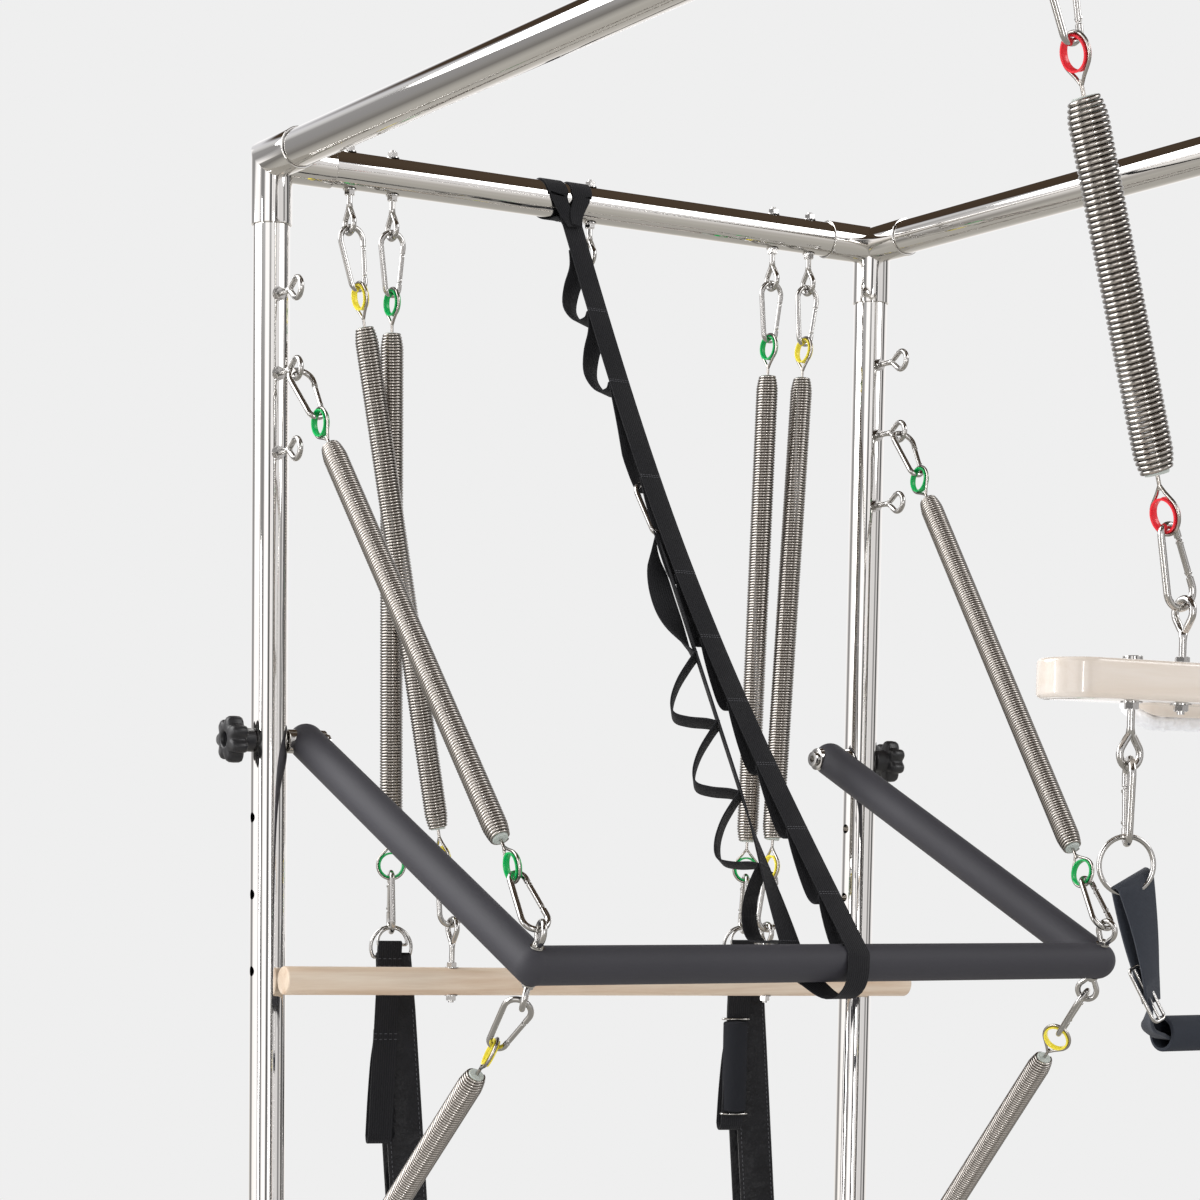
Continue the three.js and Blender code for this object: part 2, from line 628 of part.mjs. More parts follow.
// The coil that makes a chain reach from one eye to another.
const fitted = (from, to) => ({ ...longCoil, length: from.distanceTo(to) - 2 * coilStart });

const crossEye = (x) => new THREE.Vector3(x, halfLength, TOP_HEIGHT - CROSS_EYE_DROP);
for (const { name, side, level, eye, turned } of barEyes) {
  const depth = level === 'top' ? FIRST_POST_EYE + POST_EYE_PITCH : LOW_POST_EYE;
  const postEye = new THREE.Vector3(side * halfWidth, halfLength - POST_EYE_REACH, TOP_HEIGHT - depth);
  chain(name, postEye, eye.clone().sub(postEye), fitted(postEye, eye), turned);
}

// Roll-down bar, hung from the two outer eyes. It hangs off centre, so one end is
// lower, and its own X runs along it.
const rollEyes = SIDES.map(([sideName, side]) => {
  const top = crossEye(side * (halfWidth - OUTER_EYE_INSET));
  const across = ROLL_SHIFT + side * ROLL_EYE_SPACING / 2 - top.x;
  const drop = Math.sqrt(chainLength(longCoil) ** 2 - across ** 2 - rollForward ** 2);
  const run = new THREE.Vector3(across, -rollForward, -drop);
  chain(`roll_${sideName}`, top, run, longCoil);
  return top.add(run);
});
const rollTilt = Math.atan2(rollEyes[0].z - rollEyes[1].z, ROLL_EYE_SPACING);
const rollEnd = new THREE.Vector3(ROLL_LENGTH / 2, 0, 0);
const rollBolts = SIDES.flatMap(([, side]) => {
  const root = new THREE.Vector3(side * rollEyes[0].distanceTo(rollEyes[1]) / 2, 0, 0);
  const down = Z.clone().negate();
  return [...eyeBolt(root, Z, X, ROLL_D / 2, ROLL_EYE_REACH), farNut(root, down, ROLL_D / 2)];
});
const rollRod = rod(rollEnd.clone().negate(), rollEnd, ROLL_D);
const rollBar = add('roll_bar', joined([rollRod, ...rollBolts]), maple);
rollBar.rotation.set(0, rollTilt, 0);
rollBar.position.copy(rollEyes[0]).lerp(rollEyes[1], 1 / 2)
  .add(new THREE.Vector3(0, 0, -ROLL_EYE_REACH).applyAxisAngle(Y, rollTilt));

// Loop handles. Each has a ring, a webbing loop and a longer padded loop behind it,
// and the right one has a foam grip on its webbing loop. The origin is the ring's
// centre and -Y is the front.

// A closed loop of strap that hangs from a rod at `rodZ`.
function hangingLoop(rodZ, rodDiameter, loop) {
  const topR = (rodDiameter - EMBED + loop.thickness) / 2;
  const open = (loop.back - loop.front - loop.thickness) / 2;
  const middle = (loop.back + loop.front) / 2;
  const stations = [];
  for (let i = 0; i < CAP_STEPS; i++) {
    const angle = (i / (CAP_STEPS - 1)) * Math.PI;
    stations.push([angle, topR * Math.cos(angle), rodZ + topR * Math.sin(angle)]);
  }
  const neckZ = rodZ - (loop.length + rodZ) * GATHER_END_SHARE;
  const foot = -loop.length + loop.thickness / 2 + open;
  stations.push([Math.PI, middle - open, neckZ]);
  for (let i = 0; i <= BEND_STEPS; i++) {
    const angle = Math.PI * (1 + i / BEND_STEPS);
    stations.push([angle, middle + open * Math.cos(angle), foot + open * Math.sin(angle)]);
  }
  stations.push([0, middle + open, neckZ]);
  return loft(stations.map(([angle, y, z]) => {
    const down = Math.max(0, Math.min(1, z / -loop.length));
    const x = THREE.MathUtils.lerp(loop.atTop, loop.atFoot, down);
    const gather = Math.min(1, down / GATHER_END_SHARE);
    const half = loop.width * THREE.MathUtils.lerp(GATHER_SHARE, 1, gather) / 2;
    const out = new THREE.Vector3(0, Math.cos(angle), Math.sin(angle)).multiplyScalar(loop.thickness / 2);
    const centre = new THREE.Vector3(x, y, z);
    return [[-half, -1], [half, -1], [half, 1], [-half, 1]]
      .map(([w, t]) => centre.clone().setX(x + w).addScaledVector(out, t));
  }), true);
}

function handleGeometry(gripped) {
  const solids = [
    ring(new THREE.Vector3(), Y, Z, handleRingR, HANDLE_RING_ROD_D),
    hangingLoop(-handleRingR, HANDLE_RING_ROD_D, WEB),
    hangingLoop(-handleRingR, HANDLE_RING_ROD_D, PAD),
  ];
  if (gripped) {
    const top = WEB.length * GRIP_TOP_SHARE;
    const at = (depth) => new THREE.Vector3(
      THREE.MathUtils.lerp(WEB.atTop, WEB.atFoot, depth / WEB.length), WEB.front + WEB.thickness / 2, -depth);
    solids.push(rod(at(top), at(top + GRIP_LENGTH), GRIP_D));
  }
  return joined(solids);
}

const facing = Y.clone().applyAxisAngle(Z, THREE.MathUtils.degToRad(HANDLE_TURN));
for (const [sideName, side] of SIDES) {
  const top = crossEye(side * (halfWidth - INNER_EYE_INSET));
  const fall = chainLength(longCoil);
  const run = new THREE.Vector3(-side * HANDLE_DRIFT, HANDLE_BACK[sideName], -fall);
  const centre = chain(`handle_${sideName}`, top, run, longCoil, facing, hookInHandle);
  const handle = add(`loop_handle_${sideName}`, handleGeometry(side > 0), webbing);
  handle.position.copy(centre);
  handle.rotation.set(0, 0, THREE.MathUtils.degToRad(HANDLE_TURN));
}

// Safety strap: two turns round the cross tube, then a ribbon down to the push bar,
// under it and back up. Each way it has a second ribbon sewn on in loops.
const strapKnot = new THREE.Vector3(STRAP_TOP_X, halfLength, TOP_HEIGHT)
  .add(new THREE.Vector3(0, -1, -1).normalize().multiplyScalar(STRAP_KNOT));
const strapRun = barCorner.clone().setX(STRAP_FOOT_X).sub(strapKnot);
const strapFall = Math.atan2(-strapRun.z, -strapRun.y);     // below level
const strapDown = new THREE.Vector3(0, -Math.cos(strapFall), -Math.sin(strapFall));
const strapBack = new THREE.Vector3(0, Math.sin(strapFall), -Math.cos(strapFall));

const wrapR = (barR + FIT + STRAP_T / 2) / Math.cos(Math.PI / 2 / BEND_STEPS);
const strapFoot = barCorner.clone().setX(STRAP_FOOT_X).addScaledVector(strapBack, -wrapR);

// A point that is a share of the way down the sewn strap and `back` behind it
const behindStrap = (share, back) =>
  strapKnot.clone().lerp(strapFoot, STRAP_SEWN_SHARE * share).addScaledVector(strapBack, back);
const strapHookTop = behindStrap((HOOKED_LOOP + 1 / 2) / STRAP_LOOPS, STRAP_LOOP_BULGE - FIT - rodR);
const strapHookFoot = strapHookTop.clone().addScaledVector(strapDown, HOOK_LENGTH);

function strapGeometry() {
  const front = strapKnot.clone().add(new THREE.Vector3(0, 0, STRAP_KNOT / 2))
    .setY(halfLength - tubeR - FIT);
  const stations = [[front, X], [strapKnot, X], [strapFoot, X]];
  for (let i = 1; i <= BEND_STEPS; i++) {
    const angle = (i / BEND_STEPS) * Math.PI;
    const round = barCorner.clone().setX(THREE.MathUtils.lerp(STRAP_FOOT_X, STRAP_RETURN_X, i / BEND_STEPS))
      .addScaledVector(strapBack, -wrapR * Math.cos(angle))
      .addScaledVector(strapDown, wrapR * Math.sin(angle));
    stations.push([round, X]);
  }
  const back = stations.at(-1)[0];
  const end = strapHookFoot.clone().addScaledVector(strapBack, rodR + FIT + STRAP_T / 2);
  const rise = (share) => back.clone().lerp(end, share);
  const twist = 1 / (RETURN_LOOPS + 2);                // the share of the rise that each twist takes
  const turned = (angle) =>
    X.clone().multiplyScalar(Math.cos(angle)).addScaledVector(strapBack, -Math.sin(angle));
  for (let i = 1; i <= BEND_STEPS; i++) {
    stations.push([rise(twist * i / BEND_STEPS), turned((i / BEND_STEPS) * Math.PI / 2)]);
  }
  stations.push([rise(1 - twist), turned(Math.PI / 2)], [rise(1 - twist / 2), turned(Math.PI / 4)]);
  stations.push([end, X], [end.clone().addScaledVector(strapDown, -HOOKED_END), X]);
  const widths = stations.map((_, i) => (i < stations.length - 2 ? STRAP_W : HOOKED_W));
  const ribbon = strap(stations.map(([point]) => point), stations.map(([, wide]) => wide), widths, STRAP_T);

  // Loops sewn on at even places: the stations of `count` loops along a line
  const looped = (at, bulge, count) => Array.from({ length: count * LOOP_STEPS + 1 }, (_, i) => {
    const turn = (i / LOOP_STEPS) * Math.PI;
    const swing = Math.sin(turn) ** 2;
    const sag = LOOP_SAG_SHARE * Math.abs(Math.sin(2 * turn)) * swing;
    return at((i / LOOP_STEPS + sag) / count, STRAP_T / 2 + swing * bulge);
  });
  const aside = (share, out) => rise(twist + (1 - 2 * twist) * share).addScaledVector(X, -out);
  const first = looped(behindStrap, STRAP_LOOP_BULGE, STRAP_LOOPS);
  const second = looped(aside, RETURN_LOOP_BULGE, RETURN_LOOPS);
  const hooked = (i) => Math.abs(i / LOOP_STEPS - HOOKED_LOOP - 1 / 2) < 1 / 2;
  return joined([
    ribbon,
    strap(first, first.map(() => X), first.map((_, i) => (hooked(i) ? HOOKED_W : STRAP_W)), STRAP_T),
    strap(second, second.map(() => strapBack), STRAP_W, STRAP_T),
    ...STRAP_BANDS.map((x) => turnRoundTube(x)),
  ]);
}

function turnRoundTube(x) {
  const circle = (radius) => Array.from({ length: TUBE_SIDES }, (_, i) => {
    const angle = (i / TUBE_SIDES) * 2 * Math.PI;
    return new THREE.Vector2(radius * Math.cos(angle), radius * Math.sin(angle));
  });
  const inside = tubeR + FIT;
  return sideways(circle(inside + STRAP_T), [circle(inside)], STRAP_W, x)
    .translate(0, halfLength, TOP_HEIGHT);
}

add('safety_strap', strapGeometry(), webbing);
const strapHook = add('strap_hook', hookGeometry(), polished);
strapHook.position.copy(strapHookTop);
strapHook.rotation.set(Math.atan2(strapBack.z, strapBack.y), 0, 0);

// Trapeze: a cross bar that slides on the side tubes, two heavy springs, a board,
// and a sling below it.
const trapezeTop = new THREE.Vector3(0, TRAPEZE_Y, TOP_HEIGHT);

function sliderGeometry() {
  const ends = SIDES.map(([, side]) => new THREE.Vector3(side * halfWidth, 0, 0));
  const along = new THREE.Vector3(0, SLIDER_SLEEVE_L / 2, 0);
  const sleeve = (at, half, diameter) => rod(at.clone().sub(half), at.clone().add(half), diameter);
  const over = along.clone().setY(along.y + OVERRUN);
  const eyes = SIDES.flatMap(([, side]) => {
    const root = new THREE.Vector3(side * SLIDER_EYE_X, 0, 0);
    const down = Z.clone().negate();
    return [...eyeBolt(root, down, X, SLIDER_D / 2, SLIDER_EYE_DROP), farNut(root, Z, SLIDER_D / 2)];
  });
  const sleeves = ends.map((end) => sleeve(end, along, SLIDER_SLEEVE_D));
  const shape = joined([rod(...ends, SLIDER_D), ...sleeves, ...eyes]);
  return cut(shape, ends.map((end) => sleeve(end, over, TUBE_D + 2 * FIT)));
}

add('trapeze_slider', sliderGeometry(), polished).position.copy(trapezeTop);

const boardMiddle = trapezeTop.clone();
for (const [sideName, side] of SIDES) {
  const top = trapezeTop.clone().add(new THREE.Vector3(side * SLIDER_EYE_X, 0, -SLIDER_EYE_DROP));
  const inward = side * (BOARD_EYE_X - SLIDER_EYE_X);
  const drop = Math.sqrt(chainLength(heavyCoil) ** 2 - inward ** 2);
  chain(`trapeze_${sideName}`, top, new THREE.Vector3(inward, 0, -drop), heavyCoil);
  boardMiddle.z = top.z - drop - BOARD_EYE_REACH;
}

// A wooden board with round ends, about its own middle.
function plank(length, width, thickness) {
  const shape = new THREE.Shape();
  const reach = (length - width) / 2;
  shape.absarc(reach, 0, width / 2, -Math.PI / 2, Math.PI / 2);
  shape.absarc(-reach, 0, width / 2, Math.PI / 2, 3 * Math.PI / 2);
  const options = { depth: thickness, bevelEnabled: false, curveSegments: PLANK_END_STEPS };
  return new THREE.ExtrudeGeometry(shape, options).translate(0, 0, -thickness / 2);
}

const boardBolts = SIDES.flatMap(([, side]) => {
  const half = BOARD_T / 2;
  const [high, low] = [BOARD_EYE_X, BOARD_LOW_EYE_X].map((x) => new THREE.Vector3(side * x, 0, 0));
  const down = Z.clone().negate();
  return [...eyeBolt(high, Z, X, half, BOARD_EYE_REACH), farNut(high, down, half),
    ...eyeBolt(low, down, Y, half, BOARD_EYE_REACH), farNut(low, Z, half)];
});
const board = joined([plank(BOARD_LENGTH, BOARD_W, BOARD_T), ...boardBolts]);
add('trapeze_board', board, maple).position.copy(boardMiddle);

// The short board behind it is tipped, hangs on two pins from the back face of the
// long one, and has fleece on its underside.
const tip = THREE.MathUtils.degToRad(BACK_BOARD_TILT);
const backDown = new THREE.Vector3(0, Math.sin(tip), -Math.cos(tip));
const backReach = (BACK_BOARD_W * Math.cos(tip) + BACK_BOARD_T * Math.sin(tip)) / 2;
const backMiddle = boardMiddle.clone().setY(TRAPEZE_Y + BOARD_W / 2 + BACK_BOARD_SPACE + backReach);
const backShape = plank(BACK_BOARD_LENGTH, BACK_BOARD_W, BACK_BOARD_T).rotateX(tip);
const pins = SIDES.map(([, side]) => {
  const at = (y) => new THREE.Vector3(side * BACK_PIN_X_SHARE * BACK_BOARD_LENGTH / 2, y, 0);
  return rod(at(-backReach - BACK_BOARD_SPACE + FIT), at(0), BACK_PIN_D);
});
add('trapeze_back_board', joined([backShape, ...pins]), maple).position.copy(backMiddle);
const fleeceAt = backDown.clone().multiplyScalar(BACK_BOARD_T / 2 + FIT + FLEECE_T / 2);
add('fleece_pad', plank(BACK_BOARD_LENGTH, BACK_BOARD_W, FLEECE_T).rotateX(tip), fleece)
  .position.copy(backMiddle).add(fleeceAt);

// Sling: a snap hook and a ring on each side, and a strap that runs from ring to ring
// through a foam grip.
const lowEyeZ = boardMiddle.z - BOARD_EYE_REACH;
const slingRingZ = lowEyeZ - hookInEye - HOOK_LENGTH - hookInHandle;
const gripZ = slingRingZ - SLING_DROP;
const boreInside = (SLING_GRIP_BORE / 2) * Math.cos(Math.PI / TUBE_SIDES) - FIT;
const slack = Math.sqrt(boreInside ** 2 - (SLING_TUBE_W / 2) ** 2);
const slingZ = gripZ + slack - SLING_WEB_T / 2;     // the grip hangs on the strap's two edges

function slingGeometry() {
  const solids = [];
  const fold = {
    width: SLING_WEB_W, thickness: SLING_WEB_T, length: handleRingR + SLING_FOLD,
    front: -SLING_FOLD_OPEN / 2, back: SLING_FOLD_OPEN / 2, atTop: 0, atFoot: 0,
  };
  const stations = [];
  for (const [, side] of SIDES) {
    const centre = new THREE.Vector3(side * BOARD_LOW_EYE_X, 0, slingRingZ);
    solids.push(ring(centre, Y, Z, handleRingR, HANDLE_RING_ROD_D));
    solids.push(hangingLoop(-handleRingR, HANDLE_RING_ROD_D, fold).translate(...centre.toArray()));
    const inFold = centre.clone().setZ(slingRingZ - fold.length + SLING_WEB_T / 2);
    const start = inFold.clone().setZ(inFold.z - SLING_WEB_T);
    const bendX = side * (SLING_GRIP_L / 2 + SLING_WEB_T + SLING_BEND);
    const bend = new THREE.Vector3(bendX, 0, slingZ + SLING_BEND);
    const part = [[inFold, X, SLING_WEB_W], [start, X, SLING_WEB_W]];
    for (let i = 1; i <= BEND_STEPS; i++) {
      const share = i / BEND_STEPS;
      const wide = X.clone().applyAxisAngle(Z, share * Math.PI / 2);
      const width = THREE.MathUtils.lerp(SLING_WEB_W, SLING_TUBE_W, share);
      part.push([start.clone().lerp(bend, share), wide, width]);
    }
    const corner = bend.clone().setX(bend.x - side * SLING_BEND);
    for (let i = 1; i <= CAP_STEPS; i++) {
      const angle = (i / CAP_STEPS) * Math.PI / 2;
      const out = new THREE.Vector3(side * Math.cos(angle), 0, -Math.sin(angle));
      part.push([corner.clone().addScaledVector(out, SLING_BEND), Y, SLING_TUBE_W]);
    }
    const buckle = new THREE.BoxGeometry(BUCKLE_W, BUCKLE_T, BUCKLE_H).rotateZ(BUCKLE_SHARE * Math.PI / 2);
    const lean = Math.atan2(bend.x - start.x, start.z - bend.z);
    solids.push(buckle.rotateY(-lean).translate(...start.clone().lerp(bend, BUCKLE_SHARE).toArray()));
    stations.push(...(side < 0 ? part : part.reverse()));
  }
  const column = (place) => stations.map((station) => station[place]);
  solids.push(strap(column(0), column(1), column(2), SLING_WEB_T));
  return joined(solids);
}

for (const [sideName, side] of SIDES) {
  const hook = add(`hook_sling_${sideName}`, hookGeometry().rotateZ(Math.PI / 2), polished);
  hook.position.set(side * BOARD_LOW_EYE_X, TRAPEZE_Y, lowEyeZ - hookInEye);
}
add('sling_strap', slingGeometry(), webbing).position.set(0, TRAPEZE_Y, 0);
const lengthwise = (reach, diameter) =>
  rod(new THREE.Vector3(-reach, 0, 0), new THREE.Vector3(reach, 0, 0), diameter);
const grip = cut(lengthwise(SLING_GRIP_L / 2, SLING_GRIP_D),
  [lengthwise(SLING_GRIP_L / 2 + OVERRUN, SLING_GRIP_BORE)]);
add('sling_grip', grip, blackPlastic).position.set(0, TRAPEZE_Y, gripZ);

console.log('least gap of each winding to itself, mm', measuredGaps);

export default tower;
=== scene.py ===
import math

import bpy
from mathutils import Matrix, Vector


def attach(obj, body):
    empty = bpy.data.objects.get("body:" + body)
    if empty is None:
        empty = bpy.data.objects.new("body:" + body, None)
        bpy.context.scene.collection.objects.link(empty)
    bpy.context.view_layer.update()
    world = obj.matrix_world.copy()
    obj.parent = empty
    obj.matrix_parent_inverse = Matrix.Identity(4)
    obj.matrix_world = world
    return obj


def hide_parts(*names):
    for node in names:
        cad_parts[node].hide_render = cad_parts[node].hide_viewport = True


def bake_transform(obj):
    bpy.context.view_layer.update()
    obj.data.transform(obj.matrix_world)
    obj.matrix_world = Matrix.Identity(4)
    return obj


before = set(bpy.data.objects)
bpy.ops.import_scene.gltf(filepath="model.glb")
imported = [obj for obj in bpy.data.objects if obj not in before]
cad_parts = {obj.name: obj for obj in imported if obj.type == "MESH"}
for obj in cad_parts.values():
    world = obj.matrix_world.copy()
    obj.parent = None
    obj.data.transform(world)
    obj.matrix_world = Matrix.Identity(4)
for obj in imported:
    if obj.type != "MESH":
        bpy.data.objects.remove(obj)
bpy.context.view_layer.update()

bl_info = {
    "name": "Pilates Tower Unit",
    "version": (1, 0, 0),
    "blender": (4, 5, 0),
    "location": "View3D > Sidebar > Tower",
    "description": "Builds the fine surfaces of a pilates tower round its packed frame",
    "category": "Object",
}

# Everything below is in metres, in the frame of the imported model: X across the tower,
# +Y towards the push-through bar, +Z up, the origin on the floor under the middle.
X, Y, Z = Vector((1, 0, 0)), Vector((0, 1, 0)), Vector((0, 0, 1))
SIDES = (("left", -1), ("right", 1))
ENDS = (("rear", 1), ("front", -1))

# Places and sizes that the solids fix
FIT = 0.0003
HALF_WIDTH = 0.381
HALF_LENGTH = 1.080
TOP = 2.100
TUBE_R = 0.019
SLEEVE_R = 0.021
SLEEVE_REACH = 0.066
TUBE_START = 0.030
FLANGE_R = 0.055
FLANGE_T = 0.008
FLANGE_HOLE_R = 0.0055
PIVOT_HOLE_R = 0.0053
ROD_R = 0.003
EYE_R = 0.010
EYE_APEX = 0.0175
CROSS_EYE_DROP = 0.0535
POST_EYE_REACH = 0.061
BAR_EYE_REACH = 0.034
BAR_EYE_TURNS = {"top": 15, "low": 35}
ROLL_EYE_REACH = 0.057
OUTER_EYE_X = 0.292
INNER_EYE_X = 0.242
POST_EYE_DEPTHS = (0.137, 0.217, 0.297, 1.243)
HOOK_LENGTH = 0.064
HOOK_WIDE_R = 0.013
HOOK_NARROW_R = 0.008
HOOK_IN_EYE = 0.0034
HOOK_IN_RING = 0.0077
HOOK_IN_HANDLE = 0.0167
LOOP_INSIDE = 0.011
LOOP_R = 0.0135
NECK = 0.015
COIL_TAPER = 0.009
COIL_END_SHARE = 0.72
LONG_COIL = {"length": 0.528, "radius": 0.0111, "wire": 0.00142, "pitch": 0.0031}
HEAVY_COIL = {"length": 0.281, "radius": 0.0138, "wire": 0.00185, "pitch": 0.0040}
LINK = HOOK_IN_EYE + HOOK_LENGTH + HOOK_IN_RING
COIL_START = LINK + LOOP_R + 0.0025 + NECK
BAR_R = 0.019
ARM_X = 0.338
PIVOT = Vector((0, HALF_LENGTH, 1.510))
ARM_LENGTH = 0.524
ARM_DROP = math.radians(24.2)
ARM_DIR = Vector((0, -math.cos(ARM_DROP), -math.sin(ARM_DROP)))
ARM_UP = Vector((0, -math.sin(ARM_DROP), math.cos(ARM_DROP)))
BAR_CORNER = PIVOT + ARM_DIR * ARM_LENGTH
PIVOT_PITCH = 0.080
BUSH_PROUD = 0.0016
BOLT_R = 0.005
BOLT_HEAD_R = 0.0085
KNOB_R = 0.0245
KNOB_T = 0.019
KNOB_HUB = 0.013
KNOB_HUB_R = 0.0122
ROLL_R = 0.015
ROLL_HALF = 0.404
ROLL_SHIFT = 0.025
ROLL_EYE_HALF = 0.2045
ROLL_FORWARD = 0.0343
HANDLE_RING_R = 0.022
HANDLE_TURN = math.radians(-18)
HANDLE_DRIFT = 0.017
HANDLE_BACK = {"left": 0.021, "right": 0.007}
TRAPEZE_Y = -0.020
SLIDER_R = 0.0125
SLIDER_SLEEVE_R = 0.025
SLIDER_SLEEVE_HALF = 0.030
SLIDER_EYE_DROP = 0.038
SLIDER_EYE_X = 0.272
BOARD_LENGTH = 0.522
BOARD_W = 0.060
BOARD_T = 0.030
BOARD_EYE_X = 0.126
BOARD_LOW_EYE_X = 0.176
BOARD_EYE_REACH = 0.055
BACK_LENGTH = 0.230
BACK_W = 0.044
BACK_T = 0.026
BACK_TILT = math.radians(38)
BACK_SPACE = 0.009
BACK_PIN_R = 0.005
FLEECE_T = 0.014
SLING_W = 0.036
SLING_T = 0.0026
SLING_DROP = 0.125
SLING_HALF = 0.135
SLING_TUBE_R = 0.0140
SLING_BORE = 0.0112
SLING_TIP = math.radians(25)
SLING_RING_TURN = math.radians(20)
SLING_HOOK_TURN = math.radians(30)

# The photograph's camera, for a square frame
CAMERA_AT = Vector((-1.7175, -1.7644, 1.4049))
CAMERA_RIGHT = Vector((0.85726216, -0.51467221, 0.01463266))
CAMERA_DOWN = Vector((-0.03518248, -0.08690738, -0.99559495))
CAMERA_LENS = 89.376
CAMERA_SHIFT = (0.0225, 0.43625)


# ---- Surfaces -------------------------------------------------------------------


def each(value, i):
    """The value for one place, out of a list or the same for all."""
    return value[i] if isinstance(value, (list, tuple)) else value


def around(centre, radius, u, v, count):
    """Places round a circle in the plane of u and v."""
    return [centre + radius * (math.cos(a) * u + math.sin(a) * v)
            for a in (k / count * math.tau for k in range(count))]


def headings(path, closed):
    """The direction of travel at each place of a path."""
    if closed:
        pairs = zip(path[-1:] + path[:-1], path[1:] + path[:1])
    else:
        pairs = zip(path[:1] + path[:-1], path[1:] + path[-1:])
    return [(ahead - behind).normalized() for behind, ahead in pairs]


def drum(start, stop, radius):
    """The profile of a plain drum, for a turned shape."""
    return [(start, 0), (start, radius), (stop, radius), (stop, 0)]


class Skin:
    """The points and faces of one piece, with each face's finish and its own map."""

    def __init__(self):
        self.points, self.faces, self.finishes, self.map = [], [], [], []

    def add(self, points, faces, finish=0, mapped=None):
        start = len(self.points)
        self.points += [Vector(p) for p in points]
        self.faces += [[start + i for i in face] for face in faces]
        self.finishes += finish if isinstance(finish, list) else [finish] * len(faces)
        self.map += mapped or [[(0.0, 0.0)] * len(face) for face in faces]

    def loft(self, rings, closed=False, finish=0):
        """A skin over rings of points that have the same number each, closed at its ends."""
        sides, count = len(rings[0]), len(rings)
        around_ring = [[0.0] for _ in rings]
        for i, ring in enumerate(rings):
            for j in range(sides):
                step = (ring[(j + 1) % sides] - ring[j]).length
                around_ring[i].append(around_ring[i][-1] + step)
        along = [0.0]
        for i in range(count):
            near, far = rings[i], rings[(i + 1) % count]
            along.append(along[-1] + sum((near[j] - far[j]).length for j in (0, sides // 2)) / 2)
        faces, mapped = [], []
        for i in range(count if closed else count - 1):
            k = (i + 1) % count
            here, there = around_ring[i], around_ring[k]
            for j in range(sides):
                m = (j + 1) % sides
                faces.append([i * sides + j, i * sides + m, k * sides + m, k * sides + j])
                mapped.append([(here[j], along[i]), (here[j + 1], along[i]),
                               (there[j + 1], along[i + 1]), (there[j], along[i + 1])])
        if not closed:
            last = (count - 1) * sides
            faces += [list(range(sides))[::-1], [last + j for j in range(sides)]]
            mapped += [[(p.x, p.y) for p in rings[0]][::-1], [(p.x, p.y) for p in rings[-1]]]
        points = [p for ring in rings for p in ring]
        volume = sum(points[f[0]].dot(points[f[k]].cross(points[f[k + 1]]))
                     for f in faces for k in range(1, len(f) - 1))
        if volume < 0:
            faces = [face[::-1] for face in faces]
            mapped = [face[::-1] for face in mapped]
        self.add(points, faces, finish, mapped)
        return self

    def tube(self, path, radius, across, closed=False, sides=16, finish=0):
        """A round rod along a path that lies in the plane square to `across`."""
        rings = []
        for i, (point, along) in enumerate(zip(path, headings(path, closed))):
            side = along.cross(across).normalized()
            over = side.cross(along).normalized()
            rings.append(around(point, each(radius, i), side, over, sides))
        return self.loft(rings, closed, finish)

    def turned(self, profile, origin, axis, sides=48, finish=0, closed=False):
        """A turned shape: places along the axis with their radii."""
        axis = axis.normalized()
        u = axis.orthogonal().normalized()
        v = axis.cross(u)
        return self.loft([around(origin + axis * at, max(radius, 1e-6), u, v, sides)
                          for at, radius in profile], closed, finish)

    def ribbon(self, points, wides, width, thickness, closed=False, finish=0):
        """A flat strap with softened edges along points, with its width's directions."""
        rings = []
        for i, (point, along) in enumerate(zip(points, headings(points, closed))):
            wide = each(wides, i)
            wide = (wide - along * wide.dot(along)).normalized()
            out = along.cross(wide)
            w, t = each(width, i) / 2, each(thickness, i) / 2
            soft = min(t * 0.6, w * 0.3)
            rings.append([point + wide * a + out * b for a, b in (
                (-w, -t + soft), (-w + soft, -t), (w - soft, -t), (w, -t + soft),
                (w, t - soft), (w - soft, t), (-w + soft, t), (-w, t - soft))])
        return self.loft(rings, closed, finish)

    def place(self, matrix):
        self.points = [matrix @ p for p in self.points]
        return self

    def take(self, other, matrix=Matrix.Identity(4)):
        """Adds another skin, or a mesh, moved by a matrix."""
        if isinstance(other, Skin):
            self.add([matrix @ p for p in other.points], other.faces, other.finishes, other.map)
        else:
            self.add([matrix @ v.co for v in other.vertices],
                     [list(face.vertices) for face in other.polygons])
        return self

    def mesh(self, name):
        mesh = bpy.data.meshes.new(name)
        mesh.from_pydata([tuple(p) for p in self.points], [], self.faces)
        mesh.polygons.foreach_set("material_index", self.finishes)
        flat = [c for face in self.map for corner in face for c in corner]
        mesh.uv_layers.new(name="along").data.foreach_set("uv", flat)
        mesh.update()
        return mesh


def smooth_path(points, steps, closed=False):
    """A curve through the points, with `steps` places between one and the next."""
    count, out = len(points), []
    for i in range(count if closed else count - 1):
        a = points[i - 1] if closed or i else points[0]
        b, c = points[i], points[(i + 1) % count]
        d = points[(i + 2) % count] if closed or i + 2 < count else points[-1]
        for k in range(steps):
            t = k / steps
            out.append(0.5 * (2 * b + (c - a) * t + (2 * a - 5 * b + 4 * c - d) * t ** 2
                              + (3 * b - a - 3 * c + d) * t ** 3))
    return out if closed else out + [points[-1]]


